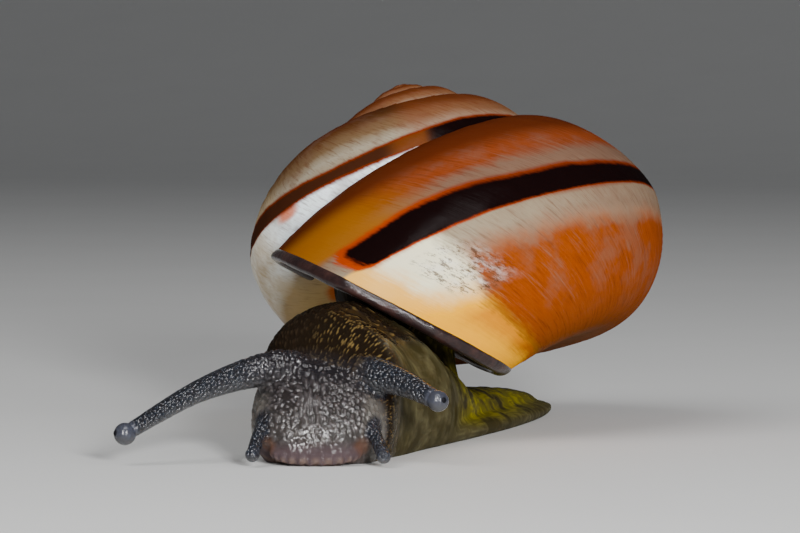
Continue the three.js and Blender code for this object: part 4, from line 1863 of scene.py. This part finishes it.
    def domes(self, places: Points, closer: tuple, size: float) -> Points:
        """Domes scattered over the skin.

        Args:
            places: Points of the skin.
            closer: How many times closer the domes lie along each axis than size says.
            size: The spacing of the domes.

        Returns:
            The height at each point, 1 on top of a dome and 0 between domes.
        """
        at = places * np.array(closer) / size
        near = np.array([noise.voronoi(Vector(row))[0][0] for row in at])
        return np.clip(1 - (near / self.forms.dome_reach) ** 2, 0, 1)

    def round_bulbs(self, piece: bpy.types.Object) -> None:
        """Moves the skin of the upper tentacles' tips onto true balls.

        Args:
            piece: The soft body, changed in place.
        """
        places, _ = vertex_arrays(piece)
        for tentacle in TENTACLES.values():
            centre = np.array(tentacle.path[-1])
            off = places - centre
            far = np.linalg.norm(off, axis=1)
            share = smooth_step(*self.limits.round_radii, far / tentacle.bulb)[:, None]
            places += share * (centre + off * (tentacle.bulb / np.maximum(far, 0.01))[:, None] - places)
        store_places(piece, places)

    def across(self, places: Points) -> Points:
        """How far each point lies from the midline, to the animal's left."""
        middle, turn = self.midline(places[:, 1])
        return (places[:, 0] - middle) * np.cos(turn)

    def find_zones(self, places: Points, normals: Points) -> dict[Zone, Points]:
        """Works out the zones of the skin, all but the studs.

        Args:
            places: Points of the skin before it is raised.
            normals: Their normals.

        Returns:
            Each zone's value at each point.
        """
        limits = self.limits
        across = self.across(places)
        y, z = places[:, 1], places[:, 2]
        feeler, bulb = self.near_tentacles(places)
        rows = curve_points(self.back, np.linspace(0, 1, 200))
        height = np.interp(y, rows[::-1, 0], rows[::-1, 2])
        rise = z / np.maximum(height, limits.least_height)
        flank = smooth_step(*limits.flank_rise, rise) * (1 - smooth_step(*limits.front_y, y))
        flank = np.maximum(flank, smooth_step(*limits.tail_y, y))
        left = smooth_step(*limits.left_side, across) * smooth_step(*limits.left_side_y, y)
        flank = np.maximum(flank, left)
        neck = smooth_step(*limits.neck_y, y) * (1 - flank)
        lips = smooth_step(*limits.lips_z, z) * smooth_step(*limits.lips_y, y) * (1 - feeler)
        corner = np.zeros(len(places))
        for place in self.corners:
            off = np.linalg.norm(places - np.array(place), axis=1)
            corner = np.maximum(corner, smooth_step(*limits.corner_reach, off))
        # The pale sides and chin, which the finish paints as light glowing through the thin skin.
        edge = smooth_step(*limits.edge_across, np.abs(across)) * smooth_step(*limits.edge_y, y)
        edge = edge * smooth_step(*limits.edge_z, z)
        chin = smooth_step(*limits.chin_z, z) * smooth_step(*limits.chin_y, y)
        return {
            Zone.NECK: neck,
            Zone.FLANK: flank,
            Zone.FEELER: feeler,
            Zone.BULB: bulb,
            Zone.LIPS: lips,
            Zone.RIM: self.scallops(places)[1],
            # Downward-facing skin, which the finish paints paler as light glowing through.
            Zone.UNDER: smooth_step(*limits.under_normal, normals[:, 2]),
            Zone.CORNER: corner * limits.corner_share,
            Zone.GOLDEN: smooth_step(*limits.golden_across, across),
            Zone.EDGE: np.maximum(edge, limits.chin_share * chin) * (1 - feeler),
            Zone.MANTLE: self.mantle(places),
            Zone.REAR: smooth_step(*limits.rear_y, y) * smooth_step(*limits.rear_z, z),
            Zone.FRONT: (1 - neck) * (1 - flank) * (1 - lips),
            Zone.BROW: smooth_step(*limits.brow_z, z) * (1 - neck) * (1 - flank),
        }

    def studs(self, places: Points, neck: Points, flank: Points) -> Points:
        """The height of the tubercles: round on the face, rows on the neck, wrinkles on the flank.

        Args:
            places: Points of the skin before it is raised.
            neck: How much each belongs to the neck.
            flank: How much each belongs to the flank.

        Returns:
            The height at each point, as a share.
        """
        limits, forms, size = self.limits, self.forms, self.stud_size
        across = self.across(places)
        y, z = places[:, 1], places[:, 2]
        local = np.stack([across, y, z], axis=1)
        ridged = smooth_step(*limits.ridged_across, np.abs(across - limits.ridged_middle))
        ridged = ridged * smooth_step(*limits.ridged_low, z) * smooth_step(*limits.ridged_high, z)
        ridged *= smooth_step(*limits.ridged_y, y)
        waves = forms.wave_height * np.sin(forms.wave_z * z + forms.wave_across * across)
        ridges = self.domes(local + waves[:, None] * np.array([1.0, 0.0, 0.0]), forms.ridge, size)
        angle = np.arctan2(across, z - forms.row_centre) * forms.row_radius
        slanted = y * forms.row_shrink - z * forms.row_slant
        rows = self.domes(np.stack([angle, slanted, np.zeros(len(z))], axis=1), forms.row, size)
        wrinkles = self.domes(local, forms.wrinkle, size * forms.wrinkle_size)
        raised = self.domes(local, forms.stud, size) * (1 - ridged) + forms.ridge_height * ridges * ridged
        raised = raised * (1 - neck) + rows * neck
        return raised * (1 - flank) + wrinkles * flank

    def dress(self, piece: bpy.types.Object) -> None:
        """Raises the tubercles and wrinkles and stores the skin's zones.

        Args:
            piece: The soft body, changed in place.
        """
        self.round_bulbs(piece)
        places, normals = vertex_arrays(piece)
        z, limits, forms = places[:, 2], self.limits, self.forms
        zones = self.find_zones(places, normals)
        neck, flank, lips = zones[Zone.NECK], zones[Zone.FLANK], zones[Zone.LIPS]
        raised = self.studs(places, neck, flank)
        calm = (1 - zones[Zone.BULB]) * (1 - smooth_step(*limits.sole_z, z))
        calm = calm * (1 - forms.feeler_calm * zones[Zone.FEELER]) * (1 - forms.lips_calm * lips)
        calm = calm * (1 - forms.flank_calm * flank)
        calm *= 1 - forms.low_calm * smooth_step(*limits.low_z, z) * (1 - flank)
        lift = (raised - forms.mean_height) * self.stud_height * calm * (1 - forms.neck_calm * neck)
        lift += forms.scallop_height * self.scallops(places)[0] * lips * smooth_step(*limits.scallop_z, z)
        lift *= smooth_step(*limits.floor_z, z)
        store_places(piece, places + normals * lift[:, None])
        zones[Zone.STUD] = raised
        for zone, values in zones.items():
            set_attribute(piece, zone.value, values)

    def build(self) -> None:
        """Builds and dresses the soft body."""
        piece = self.merged()
        self.refine(piece)
        self.dress(piece)
        piece.data.materials.append(SkinFinish().material())
        nodes = ["head", "mouth_lips", "neck", "torso", "foot", "tail", "mantle_collar"]
        nodes += [f"tentacle_{name}" for name in TENTACLES]
        finish_piece(piece, nodes)


@dataclass(frozen=True)
class EyeFinish:
    """The glossy black eye at the tip of each upper tentacle."""

    black: Colour = rgb(0.004, 0.004, 0.005)
    blue: Colour = rgb(0.006, 0.006, 0.009)

    def material(self) -> bpy.types.Material:
        """Builds the eye's material.

        Returns:
            The material.
        """
        r = Recipe("black_eye")
        colour = r.mix(r.noise(r.place(), scale=4000.0), self.black, self.blue)
        return r.surface(Base_Color=colour, Roughness=0.5, Specular_IOR_Level=0.05)


@dataclass
class Eyes:
    """The two black eyes, set in the bulbs of the upper tentacles."""

    radius: float = 0.14
    sink: float = 0.05

    def build(self) -> None:
        """Builds and dresses both eyes."""
        finish = EyeFinish().material()
        for tentacle in TENTACLES.values():
            if not tentacle.eye_node:
                continue
            out = Vector(tentacle.pupil).normalized()
            centre = Vector(tentacle.path[-1]) + out * (tentacle.bulb - self.radius + self.sink)
            piece = mesh_object(f"{tentacle.eye_node}_spot", ball(centre, (self.radius,) * 3))
            piece.data.materials.append(finish)
            finish_piece(piece, [tentacle.eye_node])


# ---------------------------------------------------------------- studio


@dataclass(frozen=True)
class SoftLight:
    """One soft light: where it stands, its size, its power and what it shows in."""

    name: str
    place: tuple
    size: tuple
    power: float
    seen_in_gloss: bool = True
    lights_colour: bool = True


@dataclass
class Studio:
    """A plain pale floor, soft lights and the camera, in metres."""

    target: tuple = (0.0, 0.002, 0.006)
    camera_place: tuple = (0.061256, -0.169369, 0.015147)
    camera_right: tuple = (0.93969, 0.34202, 0.0)
    camera_up: tuple = (-0.01492, 0.04099, 0.99905)
    camera_lens: float = 189.26
    floor_half: float = 1.6
    floor_bend: float = 0.45
    floor_rise: float = 0.9
    floor_tones: tuple = (rgb(0.78, 0.78, 0.77), rgb(0.82, 0.82, 0.81))
    surround: Colour = rgb(0.8, 0.82, 0.85)
    surround_strength: float = 0.12
    lights: tuple = (
        SoftLight("key", (-0.1, -0.2, 0.26), (0.26, 0.26), 0.6, False),
        SoftLight("lamp_right", (0.106, -0.163, 0.048), (0.03, 0.03), 0.6, False),
        SoftLight("strip_right", (0.110, -0.139, 0.06), (0.012, 0.1), 0.36, True, False),
        SoftLight("strip_left", (0.012, -0.184, 0.06), (0.012, 0.1), 0.36, True, False),
        SoftLight("high_right", (0.057, -0.077, 0.161), (0.01, 0.12), 0.12, True, False),
        SoftLight("high_left", (0.0065, -0.098, 0.161), (0.01, 0.12), 0.12, True, False),
        SoftLight("fill", (0.3, -0.1, 0.16), (0.3, 0.25), 0.3, False),
    )

    def build_floor(self) -> None:
        """Builds a floor that curves up far behind the animal."""
        bm = bmesh.new()
        bmesh.ops.create_grid(bm, x_segments=80, y_segments=80, size=self.floor_half)
        for vert in bm.verts:
            beyond = max(0.0, vert.co.y - self.floor_bend)
            vert.co.z = self.floor_rise * beyond**2
        floor = mesh_object("floor", bm)
        floor.data.shade_smooth()
        r = Recipe("pale_floor")
        tone = r.mix(r.noise(r.place(), scale=60.0), *self.floor_tones)
        floor.data.materials.append(r.surface(Base_Color=tone, Roughness=0.6))

    def build_lights(self) -> None:
        """Hangs the soft lights and sets a dim, even surround."""
        for light in self.lights:
            lamp = bpy.data.lights.new(light.name, "AREA")
            lamp.shape = "RECTANGLE"
            lamp.size, lamp.size_y = light.size
            lamp.energy = light.power
            holder = bpy.data.objects.new(light.name, lamp)
            holder.location = light.place
            holder.visible_glossy = light.seen_in_gloss
            holder.visible_diffuse = light.lights_colour
            aim = Vector(self.target) - Vector(light.place)
            holder.rotation_euler = aim.to_track_quat("-Z", "Y").to_euler()
            bpy.context.scene.collection.objects.link(holder)
        world = bpy.data.worlds.new("surround")
        world.use_nodes = True
        background = world.node_tree.nodes["Background"].inputs
        background["Color"].default_value = self.surround
        background["Strength"].default_value = self.surround_strength
        bpy.context.scene.world = world

    def build_camera(self) -> None:
        """Sets the camera low in front of the head."""
        lens = bpy.data.cameras.new("camera")
        lens.lens = self.camera_lens
        lens.clip_start = 0.01
        lens.clip_end = 10.0
        camera = bpy.data.objects.new("camera", lens)
        right, up = Vector(self.camera_right), Vector(self.camera_up)
        turn = Matrix((right, up, right.cross(up))).transposed().to_4x4()
        camera.matrix_world = Matrix.Translation(self.camera_place) @ turn
        bpy.context.scene.collection.objects.link(camera)
        bpy.context.scene.camera = camera

    def build(self) -> None:
        """Builds the whole studio."""
        self.build_floor()
        self.build_lights()
        self.build_camera()


def main() -> None:
    """Builds the snail and its studio in order."""
    logging.basicConfig(level=logging.INFO, format="%(name)s: %(message)s")
    Studio().build()
    shell = Shell()
    shell.build()
    SoftBody(shell).build()
    Eyes().build()


if __name__ == "__main__":
    main()
